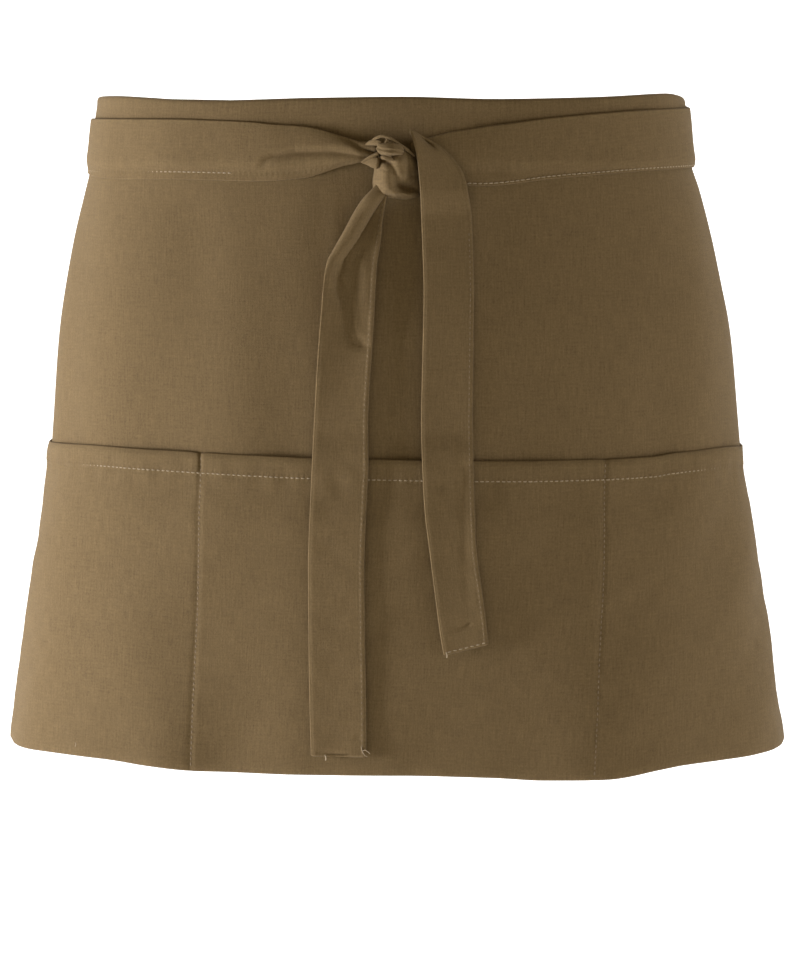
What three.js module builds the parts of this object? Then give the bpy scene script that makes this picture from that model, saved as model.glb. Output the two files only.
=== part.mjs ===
// A short waist apron with three pockets, shaped as it is worn: a rectangular skirt that wraps
// the front and sides of the body, a turned up pocket panel, a folded waistband, and two ties
// that cross behind, come round to the front and are knotted there with their ends hanging.
//
// Millimetres, +Z up. The wearer faces -Y. The origin is the middle of the waist, halfway up
// the waistband. "Arc" is a distance along a level section of the body, from the middle of the
// front, and it is positive towards +X.

import * as THREE from "three";

// The body that is dressed, inside the cloth
const waistWidth = 289.6;
const waistFrontDepth = 92;
const waistBackDepth = 90;
const hemWidth = 385.4;
const hemFrontDepth = 105;
const hemBackDepth = 112;
const bodySquareness = 2.4;
const waistAside = -3;

// The cut of the apron
const apronLength = 330;
const pocketCount = 3;
const pocketWidth = 214;
const pocketHeight = 153;
const pocketTopHem = 10;
const pocketGape = 0.8;
const hemTurn = 8;
const sideHem = 9;
const bandHeight = 30;
const seamInBand = 10;
const tieWidth = 29;
const clothThickness = 1;
const tieThickness = 1.6;
const clearance = 0.4;

// How the cloth lies
const foldDepth = 9;
const edgeWave = 1.8;
const levelWave = 4.5;

// The knot and the hanging ends
const knotWidth = 20;
const knotHeight = 32;
const knotDepth = 16;
const knotDrop = 18.5;
const knotAside = -1.7;
const leftTailLength = 271;
const rightTailLength = 251;
const tailEndSlant = 4.8;

// Fineness of the facets
const columnLength = 15;
const skirtRowsAbovePocket = 8;
const pocketRows = 7;
const tieSteps = 4;
const gapSteps = 16;
const turnSteps = 4;
const tailRows = 26;
const knotColumns = 14;
const knotRows = 16;

// Sizes that follow from the ones above
const apronWidth = pocketWidth * pocketCount;
const bandTop = bandHeight / 2;
const bandBottom = -bandHeight / 2;
const hemZ = bandTop - apronLength;
const pocketTop = hemZ + pocketHeight;
const skirtInner = clothThickness + clearance;
const skirtOuter = skirtInner + clothThickness;
const bandThickness = skirtOuter + clearance + clothThickness;
const knotZ = bandTop - knotDrop - knotHeight / 2;

// The body's outline from the waist down. down is a share of apronLength. flare, front and back
// are shares of the way from the waist's size to the hem's, and aside is the share of waistAside
// by which the body's middle is off to the side.
const bodyTable = [
  { down: 0, flare: 0, front: 0, back: 0, aside: 1 },
  { down: 0.05, flare: 0.0437, front: 0.055, back: 0.045, aside: 1 },
  { down: 0.09, flare: 0.079, front: 0.1, back: 0.08, aside: 1 },
  { down: 0.147, flare: 0.186, front: 0.28, back: 0.2, aside: 0.72 },
  { down: 0.24, flare: 0.338, front: 0.58, back: 0.5, aside: 0.5 },
  { down: 0.364, flare: 0.486, front: 0.9, back: 0.85, aside: 0.33 },
  { down: 0.5, flare: 0.56, front: 1.02, back: 1.05, aside: 0.22 },
  { down: 0.61, flare: 0.621, front: 1.04, back: 1.1, aside: 0.2 },
  { down: 0.7, flare: 0.716, front: 1.03, back: 1.08, aside: 0.12 },
  { down: 0.824, flare: 0.833, front: 1.01, back: 1.04, aside: 0.08 },
  { down: 1, flare: 1, front: 1, back: 1, aside: 0.05 },
];

// Soft folds that run down the skirt. across is a share of apronWidth from the middle, spread is
// the fold's half width as a share of apronWidth, depth a share of foldDepth, and starts and
// full say how far down apronLength it begins and reaches its depth.
const foldTable = [
  { across: 0.167, spread: 0.07, depth: 1, starts: 0.55, full: 1 },
  { across: -0.185, spread: 0.03, depth: 0.34, starts: 0.72, full: 1 },
  { across: -0.13, spread: 0.05, depth: -0.4, starts: 0.6, full: 1 },
  { across: -0.45, spread: 0.05, depth: 0.5, starts: 0.35, full: 1 },
  { across: 0.45, spread: 0.05, depth: 0.6, starts: 0.4, full: 1 },
  { across: 0.02, spread: 0.09, depth: 0.2, starts: 0.3, full: 0.9 },
];

// Small rises and dips of the waistband's edges. across is a share of apronWidth from the
// middle, and rise a share of edgeWave.
const edgeTable = [
  { across: -0.5, rise: -1 },
  { across: -0.3, rise: 0.1 },
  { across: -0.24, rise: 0.3 },
  { across: -0.14, rise: -0.9 },
  { across: -0.06, rise: -0.2 },
  { across: 0.01, rise: 0.1 },
  { across: 0.08, rise: -0.5 },
  { across: 0.16, rise: 0 },
  { across: 0.25, rise: 1 },
  { across: 0.32, rise: 0.3 },
  { across: 0.5, rise: -1 },
];

// How the pockets' top edge and the hem rise and fall along the apron, as shares of levelWave.
// across is a share of apronWidth from the middle.
const levelTable = [
  { across: -0.5, pocket: 0.6, hem: 0.6 },
  { across: -0.33, pocket: 1, hem: 0.9 },
  { across: -0.28, pocket: 0.95, hem: 0.9 },
  { across: -0.235, pocket: 0.85, hem: 0.5 },
  { across: -0.19, pocket: 0.75, hem: 0 },
  { across: -0.15, pocket: 0.65, hem: -0.35 },
  { across: -0.07, pocket: 0.2, hem: -0.45 },
  { across: 0, pocket: 0, hem: -0.45 },
  { across: 0.07, pocket: -0.17, hem: -0.68 },
  { across: 0.11, pocket: -0.2, hem: -1 },
  { across: 0.155, pocket: 0.1, hem: -1 },
  { across: 0.2, pocket: 0.4, hem: -0.3 },
  { across: 0.22, pocket: 0.5, hem: 0 },
  { across: 0.27, pocket: 0.62, hem: 0.2 },
  { across: 0.33, pocket: 0.65, hem: 0.25 },
  { across: 0.5, pocket: 0.4, hem: 0 },
];

// The run of each tie from the knot. at is 0 at the knot, 1 at the side of the waist, 2 at the
// band's end on that side and 3 at its far end, where the tie is sewn on. mid is the height of
// its middle as a share of tieWidth, width a share of tieWidth, level a share of bandThickness
// out from the body, puff the extra thickness of the gathers as a share of tieThickness, and
// crease how far a fold dips as a share of tieThickness.
const leftTieTable = [
  { at: 0, mid: -0.42, width: 0.4, level: 1.3, puff: 1.8, crease: 0.2 },
  { at: 0.045, mid: -0.42, width: 0.5, level: 1.15, puff: 1.5, crease: 0.6 },
  { at: 0.145, mid: -0.43, width: 0.8, level: 1.06, puff: 1, crease: 0.9 },
  { at: 0.23, mid: -0.42, width: 0.92, level: 1.04, puff: 0.6, crease: 0.5 },
  { at: 0.31, mid: -0.4, width: 0.97, level: 1.02, puff: 0.25, crease: 0 },
  { at: 0.53, mid: -0.37, width: 0.99, level: 1, puff: 0, crease: 0 },
  { at: 1, mid: -0.38, width: 1, level: 1, puff: 0, crease: 0 },
  { at: 1.6, mid: -0.75, width: 1, level: 1, puff: 0, crease: 0 },
  { at: 2, mid: -1.16, width: 1, level: 1, puff: 0, crease: 0 },
  { at: 2.05, mid: -1.15, width: 1, level: 0.92, puff: 0, crease: 0 },
  { at: 2.13, mid: -1.08, width: 1, level: 0.25, puff: 0, crease: 0 },
  { at: 2.22, mid: -0.9, width: 1, level: 0.12, puff: 0, crease: 0 },
  { at: 2.45, mid: -0.38, width: 1, level: 0.1, puff: 0, crease: 0 },
  { at: 2.7, mid: -0.08, width: 1, level: 0.15, puff: 0, crease: 0 },
  { at: 3, mid: 0, width: 1, level: 0.18, puff: 0, crease: 0 },
];
const rightTieTable = [
  { at: 0, mid: -0.46, width: 0.4, level: 1.2, puff: 1.6, crease: 0 },
  { at: 0.03, mid: -0.48, width: 0.55, level: 1.1, puff: 1.2, crease: 0 },
  { at: 0.117, mid: -0.51, width: 0.88, level: 1.05, puff: 0.6, crease: 0.2 },
  { at: 0.225, mid: -0.46, width: 0.98, level: 1.04, puff: 0.3, crease: 0.3 },
  { at: 0.35, mid: -0.36, width: 0.99, level: 1.02, puff: 0.1, crease: 0 },
  { at: 0.48, mid: -0.29, width: 1, level: 1, puff: 0, crease: 0 },
  { at: 0.67, mid: -0.22, width: 1, level: 1, puff: 0, crease: 0 },
  { at: 1, mid: -0.18, width: 1, level: 1, puff: 0, crease: 0 },
  { at: 1.6, mid: -0.08, width: 1, level: 1, puff: 0, crease: 0 },
  { at: 2, mid: -0.05, width: 1, level: 1, puff: 0, crease: 0 },
  { at: 2.3, mid: -0.06, width: 1, level: 0.9, puff: 0, crease: 0 },
  { at: 2.6, mid: -0.05, width: 1, level: 0.85, puff: 0, crease: 0 },
  { at: 2.86, mid: 0, width: 1, level: 0.85, puff: 0, crease: 0 },
  { at: 2.95, mid: 0, width: 1, level: 0.4, puff: 0, crease: 0 },
  { at: 3, mid: 0, width: 1, level: 0.18, puff: 0, crease: 0 },
];

// The hanging ends. down is a share of the end's length, left and right are its edges as shares
// of tieWidth, from the knot's middle for the left end and its right edge for the right one. The
// rest say how far it stands off what lies under it, as shares of knotDepth, at its left edge,
// the ridge next to that, its middle, the valley and its right edge.
const leftTailTable = [
  { down: 0, left: -0.361, right: -0.141, lift: 0.52, ridge: 0.62, middle: 0.62, valley: 0.55, far: 0.4 },
  { down: 0.05, left: -0.781, right: -0.191, lift: 0.4, ridge: 0.66, middle: 0.56, valley: 0.3, far: 0.22 },
  { down: 0.1, left: -1.011, right: -0.251, lift: 0.3, ridge: 0.56, middle: 0.42, valley: 0.16, far: 0.16 },
  { down: 0.13, left: -1.121, right: -0.281, lift: 0.2, ridge: 0.34, middle: 0.22, valley: 0.12, far: 0.16 },
  { down: 0.19, left: -1.191, right: -0.321, lift: 0.2, ridge: 0.12, middle: 0.05, valley: 0.18, far: 0.16 },
  { down: 0.28, left: -1.251, right: -0.371, lift: 0.14, ridge: 0.06, middle: 0.04, valley: 0.12, far: 0.1 },
  { down: 0.4, left: -1.321, right: -0.441, lift: 0.1, ridge: 0.06, middle: 0.06, valley: 0.08, far: 0.08 },
  { down: 0.54, left: -1.381, right: -0.461, lift: 0.06, ridge: 0.06, middle: 0.06, valley: 0.06, far: 0.06 },
  { down: 0.67, left: -1.421, right: -0.501, lift: 0.06, ridge: 0.05, middle: 0.05, valley: 0.05, far: 0.06 },
  { down: 0.8, left: -1.411, right: -0.501, lift: 0.06, ridge: 0.06, middle: 0.05, valley: 0.05, far: 0.06 },
  { down: 0.95, left: -1.401, right: -0.471, lift: 0.06, ridge: 0.06, middle: 0.06, valley: 0.06, far: 0.06 },
  { down: 1, left: -1.381, right: -0.461, lift: 0.06, ridge: 0.05, middle: 0.05, valley: 0.06, far: 0.08 },
];
const rightTailTable = [
  { down: 0, left: 0, right: 0.36, lift: 0.62, ridge: 0.56, middle: 0.5, valley: 0.45, far: 0.4 },
  { down: 0.04, left: 0.03, right: 0.56, lift: 0.62, ridge: 0.56, middle: 0.5, valley: 0.42, far: 0.34 },
  { down: 0.08, left: 0.09, right: 0.8, lift: 0.58, ridge: 0.52, middle: 0.45, valley: 0.36, far: 0.28 },
  { down: 0.11, left: 0.1, right: 0.86, lift: 0.54, ridge: 0.46, middle: 0.4, valley: 0.32, far: 0.24 },
  { down: 0.17, left: 0.13, right: 0.95, lift: 0.42, ridge: 0.36, middle: 0.3, valley: 0.22, far: 0.14 },
  { down: 0.31, left: 0.16, right: 0.98, lift: 0.24, ridge: 0.22, middle: 0.18, valley: 0.12, far: 0.07 },
  { down: 0.56, left: 0.12, right: 0.97, lift: 0.12, ridge: 0.12, middle: 0.1, valley: 0.07, far: 0.07 },
  { down: 0.66, left: 0.155, right: 0.975, lift: 0.1, ridge: 0.08, middle: 0.04, valley: 0.04, far: 0.08 },
  { down: 0.74, left: 0.18, right: 0.99, lift: 0.09, ridge: 0.06, middle: 0.01, valley: 0.02, far: 0.08 },
  { down: 0.84, left: 0.3, right: 1.07, lift: 0.09, ridge: 0.06, middle: 0, valley: 0.02, far: 0.1 },
  { down: 0.92, left: 0.39, right: 1.155, lift: 0.09, ridge: 0.06, middle: 0.01, valley: 0.04, far: 0.1 },
  { down: 1, left: 0.5, right: 1.22, lift: 0.1, ridge: 0.08, middle: 0.07, valley: 0.1, far: 0.12 },
];

// Outline of the knot from the front. down is a share of knotHeight, left and right are its
// edges as shares of knotWidth from its middle, and the left tie's gathers widen it on the left.
const knotTable = [
  { down: 0, left: -0.42, right: 0.2 },
  { down: 0.06, left: -0.5, right: 0.33 },
  { down: 0.14, left: -0.66, right: 0.42 },
  { down: 0.3, left: -0.77, right: 0.45 },
  { down: 0.4, left: -0.78, right: 0.47 },
  { down: 0.47, left: -0.56, right: 0.49 },
  { down: 0.6, left: -0.52, right: 0.5 },
  { down: 0.8, left: -0.52, right: 0.5 },
  { down: 0.92, left: -0.44, right: 0.5 },
  { down: 1, left: -0.1, right: 0.4 },
];

// The rolls of cloth that make the knot, each a rounded ridge between two places. across and up
// are shares of knotWidth and knotHeight from its middle, girth is the ridge's half width as a
// share of knotWidth, and proud its height as a share of knotDepth. Between them it stands
// knotFloor proud.
const knotFloor = 0.32;
const rollTable = [
  { fromAcross: -0.36, fromUp: -0.14, toAcross: 0.3, toUp: -0.4, girth: 0.34, proud: 1 },
  { fromAcross: -0.1, fromUp: 0.06, toAcross: 0.42, toUp: -0.18, girth: 0.27, proud: 0.94 },
  { fromAcross: -0.2, fromUp: 0.27, toAcross: 0.16, toUp: 0.26, girth: 0.24, proud: 0.95 },
  { fromAcross: -0.42, fromUp: 0.37, toAcross: -0.18, toUp: 0.46, girth: 0.13, proud: 0.72 },
  { fromAcross: -0.05, fromUp: 0.46, toAcross: 0.36, toUp: 0.24, girth: 0.15, proud: 0.7 },
  { fromAcross: -0.74, fromUp: 0.1, toAcross: -0.38, toUp: 0.15, girth: 0.16, proud: 0.6 },
  { fromAcross: -0.7, fromUp: 0.28, toAcross: -0.38, toUp: 0.26, girth: 0.16, proud: 0.5 },
];

// A value from a table, at a place between its rows, on a smooth curve that never overshoots.
function smooth(table, placeColumn, column, place) {
  const last = table.length - 1;
  if (place <= table[0][placeColumn]) return table[0][column];
  if (place >= table[last][placeColumn]) return table[last][column];
  let row = 0;
  while (table[row + 1][placeColumn] < place) row += 1;
  const slopeOf = (r) =>
    (table[r + 1][column] - table[r][column]) / (table[r + 1][placeColumn] - table[r][placeColumn]);
  const tangentOf = (r) => {
    if (r === 0) return slopeOf(0);
    if (r === last) return slopeOf(last - 1);
    const before = slopeOf(r - 1);
    const after = slopeOf(r);
    return before * after <= 0 ? 0 : (2 * before * after) / (before + after);
  };
  const span = table[row + 1][placeColumn] - table[row][placeColumn];
  const t = (place - table[row][placeColumn]) / span;
  const startShare = 2 * t ** 3 - 3 * t ** 2 + 1;
  const startSlope = (t ** 3 - 2 * t ** 2 + t) * span;
  const endSlope = (t ** 3 - t ** 2) * span;
  return (
    startShare * table[row][column] +
    (1 - startShare) * table[row + 1][column] +
    startSlope * tangentOf(row) +
    endSlope * tangentOf(row + 1)
  );
}

// 0 before low, 1 after high, and a smooth step between them.
function ease(low, high, value) {
  const t = Math.min(1, Math.max(0, (value - low) / (high - low)));
  return t * t * (3 - 2 * t);
}

// Half width, front depth, back depth and sideways shift of the body at a height.
function bodySizes(z) {
  const down = (bandTop - z) / apronLength;
  const between = (waist, hem, column) =>
    waist + (hem - waist) * smooth(bodyTable, "down", column, down);
  return {
    half: between(waistWidth / 2, hemWidth / 2, "flare"),
    front: between(waistFrontDepth, hemFrontDepth, "front"),
    back: between(waistBackDepth, hemBackDepth, "back"),
    aside: waistAside * smooth(bodyTable, "down", "aside", down),
  };
}

// Distance of the body's surface from its axis, at an angle from the front.
function bodyRadius(sizes, angle) {
  const depth = Math.cos(angle) > 0 ? sizes.front : sizes.back;
  const across = Math.abs(Math.sin(angle) / sizes.half) ** bodySquareness;
  const along = Math.abs(Math.cos(angle) / depth) ** bodySquareness;
  return (across + along) ** (-1 / bodySquareness);
}

// A point at an angle and a height, offset outwards from the body.
function atAngle(angle, z, offset) {
  const sizes = bodySizes(z);
  const nudge = 0.002;
  const radius = bodyRadius(sizes, angle);
  const slope = (bodyRadius(sizes, angle + nudge) - bodyRadius(sizes, angle - nudge)) / (2 * nudge);
  const tangent = new THREE.Vector2(
    slope * Math.sin(angle) + radius * Math.cos(angle),
    radius * Math.sin(angle) - slope * Math.cos(angle),
  ).normalize();
  return new THREE.Vector3(
    sizes.aside + radius * Math.sin(angle) + tangent.y * offset,
    -radius * Math.cos(angle) - tangent.x * offset,
    z,
  );
}

// Arc lengths along half of the body's section at a height, from the front to the back.
const arcSteps = 240;
const arcTables = new Map();
function arcTable(z) {
  const key = z.toFixed(3);
  if (!arcTables.has(key)) {
    const sizes = bodySizes(z);
    const arcs = [0];
    let before = new THREE.Vector2(0, bodyRadius(sizes, 0));
    for (let step = 1; step <= arcSteps; step += 1) {
      const angle = (Math.PI * step) / arcSteps;
      const radius = bodyRadius(sizes, angle);
      const here = new THREE.Vector2(radius * Math.sin(angle), radius * Math.cos(angle));
      arcs.push(arcs[step - 1] + here.distanceTo(before));
      before = here;
    }
    arcTables.set(key, arcs);
  }
  return arcTables.get(key);
}

// Arc from the middle of the front to an angle, and the middle of the back, at a height.
function halfGirth(z) {
  return arcTable(z)[arcSteps];
}

// The angle at an arc, past the middle of the back too.
function angleAt(arc, z) {
  const size = Math.abs(arc);
  const half = halfGirth(z);
  if (size > half) return Math.sign(arc) * (2 * Math.PI - Math.abs(angleAt(2 * half - size, z)));
  const arcs = arcTable(z);
  let low = 0;
  let high = arcSteps;
  while (high - low > 1) {
    const middle = (low + high) >> 1;
    if (arcs[middle] <= size) low = middle;
    else high = middle;
  }
  const part = (size - arcs[low]) / (arcs[high] - arcs[low]);
  return (Math.sign(arc) * Math.PI * (low + part)) / arcSteps;
}

// How far the soft folds push the cloth outwards.
function drape(arc, z) {
  const across = arc / apronWidth;
  const down = (bandTop - z) / apronLength;
  return foldTable.reduce((sum, fold) => {
    const reach = (across - fold.across) / fold.spread;
    return sum + foldDepth * fold.depth * Math.exp(-reach * reach) * ease(fold.starts, fold.full, down);
  }, 0);
}

// How far the cloth rides up at an arc: nothing at the waist, and as the table says at the
// pockets' top edge and at the hem.
function rideUp(arc, z) {
  const across = arc / apronWidth;
  const atPocket = levelWave * smooth(levelTable, "across", "pocket", across);
  const atHem = levelWave * smooth(levelTable, "across", "hem", across);
  if (z >= pocketTop) return atPocket * ease(bandBottom, pocketTop, z);
  return THREE.MathUtils.mapLinear(z, pocketTop, hemZ, atPocket, atHem);
}

// A closed wall between two grids of points, given as rows of { inner, outer }.
function wallGeometry(rows) {
  const width = rows[0].length;
  const points = rows.flatMap((row) => [...row.map((p) => p.inner), ...row.map((p) => p.outer)]);
  const inner = (row, column) => row * 2 * width + column;
  const outer = (row, column) => inner(row, column) + width;
  const faces = [];
  const quad = (a, b, c, d) => faces.push(a, b, c, a, c, d);
  for (let row = 0; row + 1 < rows.length; row += 1) {
    for (let column = 0; column + 1 < width; column += 1) {
      quad(outer(row, column), outer(row, column + 1), outer(row + 1, column + 1), outer(row + 1, column));
      quad(inner(row, column), inner(row + 1, column), inner(row + 1, column + 1), inner(row, column + 1));
    }
    quad(outer(row, 0), outer(row + 1, 0), inner(row + 1, 0), inner(row, 0));
    quad(outer(row, width - 1), inner(row, width - 1), inner(row + 1, width - 1), outer(row + 1, width - 1));
  }
  const last = rows.length - 1;
  for (let column = 0; column + 1 < width; column += 1) {
    quad(outer(0, column), inner(0, column), inner(0, column + 1), outer(0, column + 1));
    quad(outer(last, column), outer(last, column + 1), inner(last, column + 1), inner(last, column));
  }
  return facingOut(points, faces);
}

// A closed solid through loops of points, each with as many points, with a flat cap at each end.
function loftGeometry(loops) {
  const sides = loops[0].length;
  const points = loops.flat();
  const faces = [];
  for (let loop = 0; loop + 1 < loops.length; loop += 1) {
    for (let side = 0; side < sides; side += 1) {
      const next = (side + 1) % sides;
      const a = loop * sides + side;
      const b = loop * sides + next;
      faces.push(a, b, b + sides, a, b + sides, a + sides);
    }
  }
  const end = (loops.length - 1) * sides;
  const outline = THREE.ShapeUtils.triangulateShape(flattened(loops[0]), []);
  for (const [a, b, c] of outline) faces.push(a, c, b);
  for (const [a, b, c] of THREE.ShapeUtils.triangulateShape(flattened(loops[loops.length - 1]), [])) {
    faces.push(end + a, end + b, end + c);
  }
  return facingOut(points, faces);
}

// A flat loop's points in two dimensions of its own plane, turning anticlockwise as lofted.
function flattened(loop) {
  const centre = loop.reduce((sum, p) => sum.add(p), new THREE.Vector3()).divideScalar(loop.length);
  const normal = new THREE.Vector3();
  loop.forEach((p, i) => {
    const next = loop[(i + 1) % loop.length];
    normal.add(p.clone().sub(centre).cross(next.clone().sub(centre)));
  });
  normal.normalize();
  const first = loop[0].clone().sub(centre).projectOnPlane(normal).normalize();
  const second = normal.clone().cross(first);
  return loop.map((p) => {
    const from = p.clone().sub(centre);
    return new THREE.Vector2(from.dot(first), from.dot(second));
  });
}

// A geometry whose faces are turned to point outwards.
function facingOut(points, faces) {
  let volume = 0;
  for (let i = 0; i < faces.length; i += 3) {
    const [a, b, c] = [points[faces[i]], points[faces[i + 1]], points[faces[i + 2]]];
    volume += a.dot(b.clone().cross(c));
  }
  if (volume < 0) {
    for (let i = 0; i < faces.length; i += 3) {
      [faces[i + 1], faces[i + 2]] = [faces[i + 2], faces[i + 1]];
    }
  }
  const geometry = new THREE.BufferGeometry();
  geometry.setAttribute("position", new THREE.Float32BufferAttribute(points.flatMap((p) => p.toArray()), 3));
  geometry.setIndex(faces);
  return geometry;
}

const cloth = new THREE.MeshStandardMaterial({ color: 0x75603f, roughness: 0.92, metalness: 0 });

function named(name, geometry) {
  const mesh = new THREE.Mesh(geometry, cloth.clone());
  mesh.name = name;
  return mesh;
}

// Columns shared by the skirt, the pockets and the waistband, with one on each pocket seam and
// two at the step of each side hem.
function clothColumns() {
  const half = apronWidth / 2;
  const step = clothThickness / 2;
  const perPocket = Math.round(pocketWidth / columnLength);
  const columns = [];
  for (let pocket = 0; pocket < pocketCount; pocket += 1) {
    for (let i = 0; i < perPocket; i += 1) {
      columns.push(-half + pocketWidth * (pocket + i / perPocket));
    }
  }
  columns.push(half);
  const hems = [half - sideHem, half - sideHem + step];
  const clear = columns.filter((arc) => hems.every((hem) => Math.abs(Math.abs(arc) - hem) > sideHem / 3));
  return [...clear, ...hems, ...hems.map((hem) => -hem)].sort((a, b) => a - b);
}
const columns = clothColumns();

// Heights of the rows that the skirt and the pockets share, from the pocket's top edge down.
const turnRadius = clothThickness / 2 + clearance;
const skirtBottom = hemZ + turnRadius + clothThickness;
const turnEnd = skirtBottom + hemTurn;
const sharedRows = [pocketTop, pocketTop - pocketTopHem, pocketTop - pocketTopHem - clothThickness];
for (let row = 1; row <= pocketRows; row += 1) {
  sharedRows.push(sharedRows[2] + ((turnEnd - sharedRows[2]) * row) / pocketRows);
}
sharedRows.push(skirtBottom);

// The skirt: one wall from inside the waistband to the hem, doubled at its side hems.
function skirtPanel() {
  const top = bandBottom + seamInBand;
  const heights = [top];
  for (let row = 0; row < skirtRowsAbovePocket; row += 1) {
    heights.push(bandBottom + ((pocketTop - bandBottom) * row) / skirtRowsAbovePocket);
  }
  heights.push(...sharedRows);
  const rows = heights.map((z) =>
    columns.map((arc) => {
      const inHem = Math.abs(arc) > apronWidth / 2 - sideHem + clothThickness / 4;
      const doubled = inHem && z < bandBottom - clothThickness;
      const inner = doubled ? clearance : skirtInner;
      const angle = angleAt(arc, Math.min(z, bandBottom));
      const push = drape(arc, z);
      const level = z + rideUp(arc, z);
      return { inner: atAngle(angle, level, inner + push), outer: atAngle(angle, level, skirtOuter + push) };
    }),
  );
  return named("skirt_panel", wallGeometry(rows));
}

// How far the pocket panel stands off the skirt: nothing at its seams and its foot.
function gapeAt(arc, z) {
  const along = ((arc + apronWidth / 2) / pocketWidth) % 1;
  const up = (z - skirtBottom) / (pocketTop - skirtBottom);
  return pocketGape * Math.sin(Math.PI * Math.abs(along)) ** 2 * ease(0, 1, up);
}

// Offset of the pocket panel's face, which the doubled hem at its top pushes out a little.
function pocketFace(arc, z) {
  const hemFoot = pocketTop - pocketTopHem;
  const raise = clothThickness * ease(hemFoot - pocketTopHem, hemFoot, z);
  return skirtOuter + clearance + clothThickness + raise + gapeAt(arc, z) + drape(arc, z);
}

// The pocket panel: it hangs from a doubled top hem to the foot of the skirt, turns under it and
// ends a little way up behind it.
function pocketPanel() {
  const rows = sharedRows.map((z, index) => {
    const thickness = index < 2 ? 2 * clothThickness : clothThickness;
    return columns.map((arc) => {
      const angle = angleAt(arc, z);
      const face = pocketFace(arc, z);
      const level = z + rideUp(arc, z);
      return { inner: atAngle(angle, level, face - thickness), outer: atAngle(angle, level, face) };
    });
  });
  const middle = skirtInner + clothThickness / 2;
  const turned = (share, lift) =>
    columns.map((arc) => {
      const level = skirtBottom + lift;
      const push = middle + drape(arc, level);
      const around = Math.PI * share;
      const inHem = Math.abs(arc) > apronWidth / 2 - sideHem - clothThickness / 4;
      const inside = inHem ? clothThickness * share : 0;
      const point = (radius, extra) => {
        const z = level + rideUp(arc, level) - radius * Math.sin(around);
        return atAngle(angleAt(arc, level), z, push + radius * Math.cos(around) - extra);
      };
      return { inner: point(turnRadius, inside), outer: point(turnRadius + clothThickness, inside) };
    });
  for (let step = 1; step <= turnSteps; step += 1) rows.push(turned(step / turnSteps, 0));
  rows.push(turned(1, hemTurn));
  return named("pocket_panel", wallGeometry(rows));
}

// The waistband: a folded strip whose slot holds the top of the skirt.
function waistband() {
  const slot = seamInBand + clearance;
  const chamfer = clothThickness * 0.8;
  const section = [
    { out: 0, up: 0 },
    { out: 0, up: bandHeight - chamfer },
    { out: chamfer, up: bandHeight },
    { out: bandThickness - chamfer, up: bandHeight },
    { out: bandThickness, up: bandHeight - chamfer },
    { out: bandThickness, up: 0 },
    { out: bandThickness - clothThickness, up: 0 },
    { out: bandThickness - clothThickness, up: slot },
    { out: clothThickness, up: slot },
    { out: clothThickness, up: 0 },
  ];
  const loops = columns.map((arc) => {
    const wave = edgeWave * smooth(edgeTable, "across", "rise", arc / apronWidth);
    return section.map(({ out, up }) => {
      const z = bandBottom + up + wave * ease(slot, bandHeight - chamfer, up);
      return atAngle(angleAt(arc, bandBottom), z, out);
    });
  });
  return named("waistband", loftGeometry(loops));
}

// Places along a tie, from the knot to where it is sewn on: the knot's edge, the side of the
// waist, the band's end on that side and its far end.
const knotFromMiddle = knotAside - bodySizes(knotZ).aside;
const knotEdges = {
  left: Math.max(...knotTable.map((row) => -row.left)) * knotWidth - knotFromMiddle + clearance,
  right: Math.max(...knotTable.map((row) => row.right)) * knotWidth + knotFromMiddle + clearance,
};
const knotRight = knotEdges.right + knotAside - knotFromMiddle;
const nearEnd = apronWidth / 2;
const farEnd = 2 * halfGirth(0) - apronWidth / 2;
const sideArc = halfGirth(0) / 2;

function milestonesFrom(knotEdge) {
  return [knotEdge, sideArc, nearEnd, farEnd - clearance];
}

// The place of an arc among the milestones, and the arcs at which a tie gets its facets.
function placeOf(arc, milestones) {
  let leg = 0;
  while (leg < 2 && arc > milestones[leg + 1]) leg += 1;
  return leg + (arc - milestones[leg]) / (milestones[leg + 1] - milestones[leg]);
}

function tieArcs(table, milestones) {
  const [knotEdge, side, near, far] = milestones;
  const gathers = table.filter((row) => row.at < 0.3);
  const arcs = gathers.map((row) => knotEdge + row.at * (side - knotEdge));
  const firstPlain = arcs[arcs.length - 1] + columnLength / 2;
  arcs.push(...columns.filter((arc) => arc > firstPlain && arc < near - sideHem / 2));
  for (let step = 0; step <= gapSteps; step += 1) arcs.push(near + ((far - near) * step) / gapSteps);
  return arcs;
}

// One tie, from the knot round the side and across the back. side is -1 on the left of the
// picture and 1 on the right.
function tie(name, side, table) {
  const milestones = milestonesFrom(side < 0 ? knotEdges.left : knotEdges.right);
  const rows = tieArcs(table, milestones).map((arc) => {
    const at = placeOf(arc, milestones);
    const value = (column) => smooth(table, "at", column, at);
    const middle = value("mid") * tieWidth;
    const width = value("width") * tieWidth;
    const inner = value("level") * bandThickness + clearance;
    const points = [];
    for (let step = 0; step <= tieSteps; step += 1) {
      const across = (2 * step) / tieSteps - 1;
      const z = middle + (across * width) / 2;
      const angle = angleAt(side * arc, bandBottom);
      const crown = value("puff") * tieThickness * (1 - across * across);
      const dip = step === tieSteps / 2 ? value("crease") * tieThickness : 0;
      const below = drapeUnder(side * arc, z);
      points.push({
        inner: atAngle(angle, z, inner + below),
        outer: atAngle(angle, z, inner + below + tieThickness + crown - dip),
      });
    }
    return points;
  });
  return named(name, wallGeometry(rows));
}

// The drape of the skirt where it is still under a tie, and none past the skirt's edges.
function drapeUnder(arc, z) {
  return Math.abs(arc) < apronWidth / 2 ? drape(arc, z) : 0;
}

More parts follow.
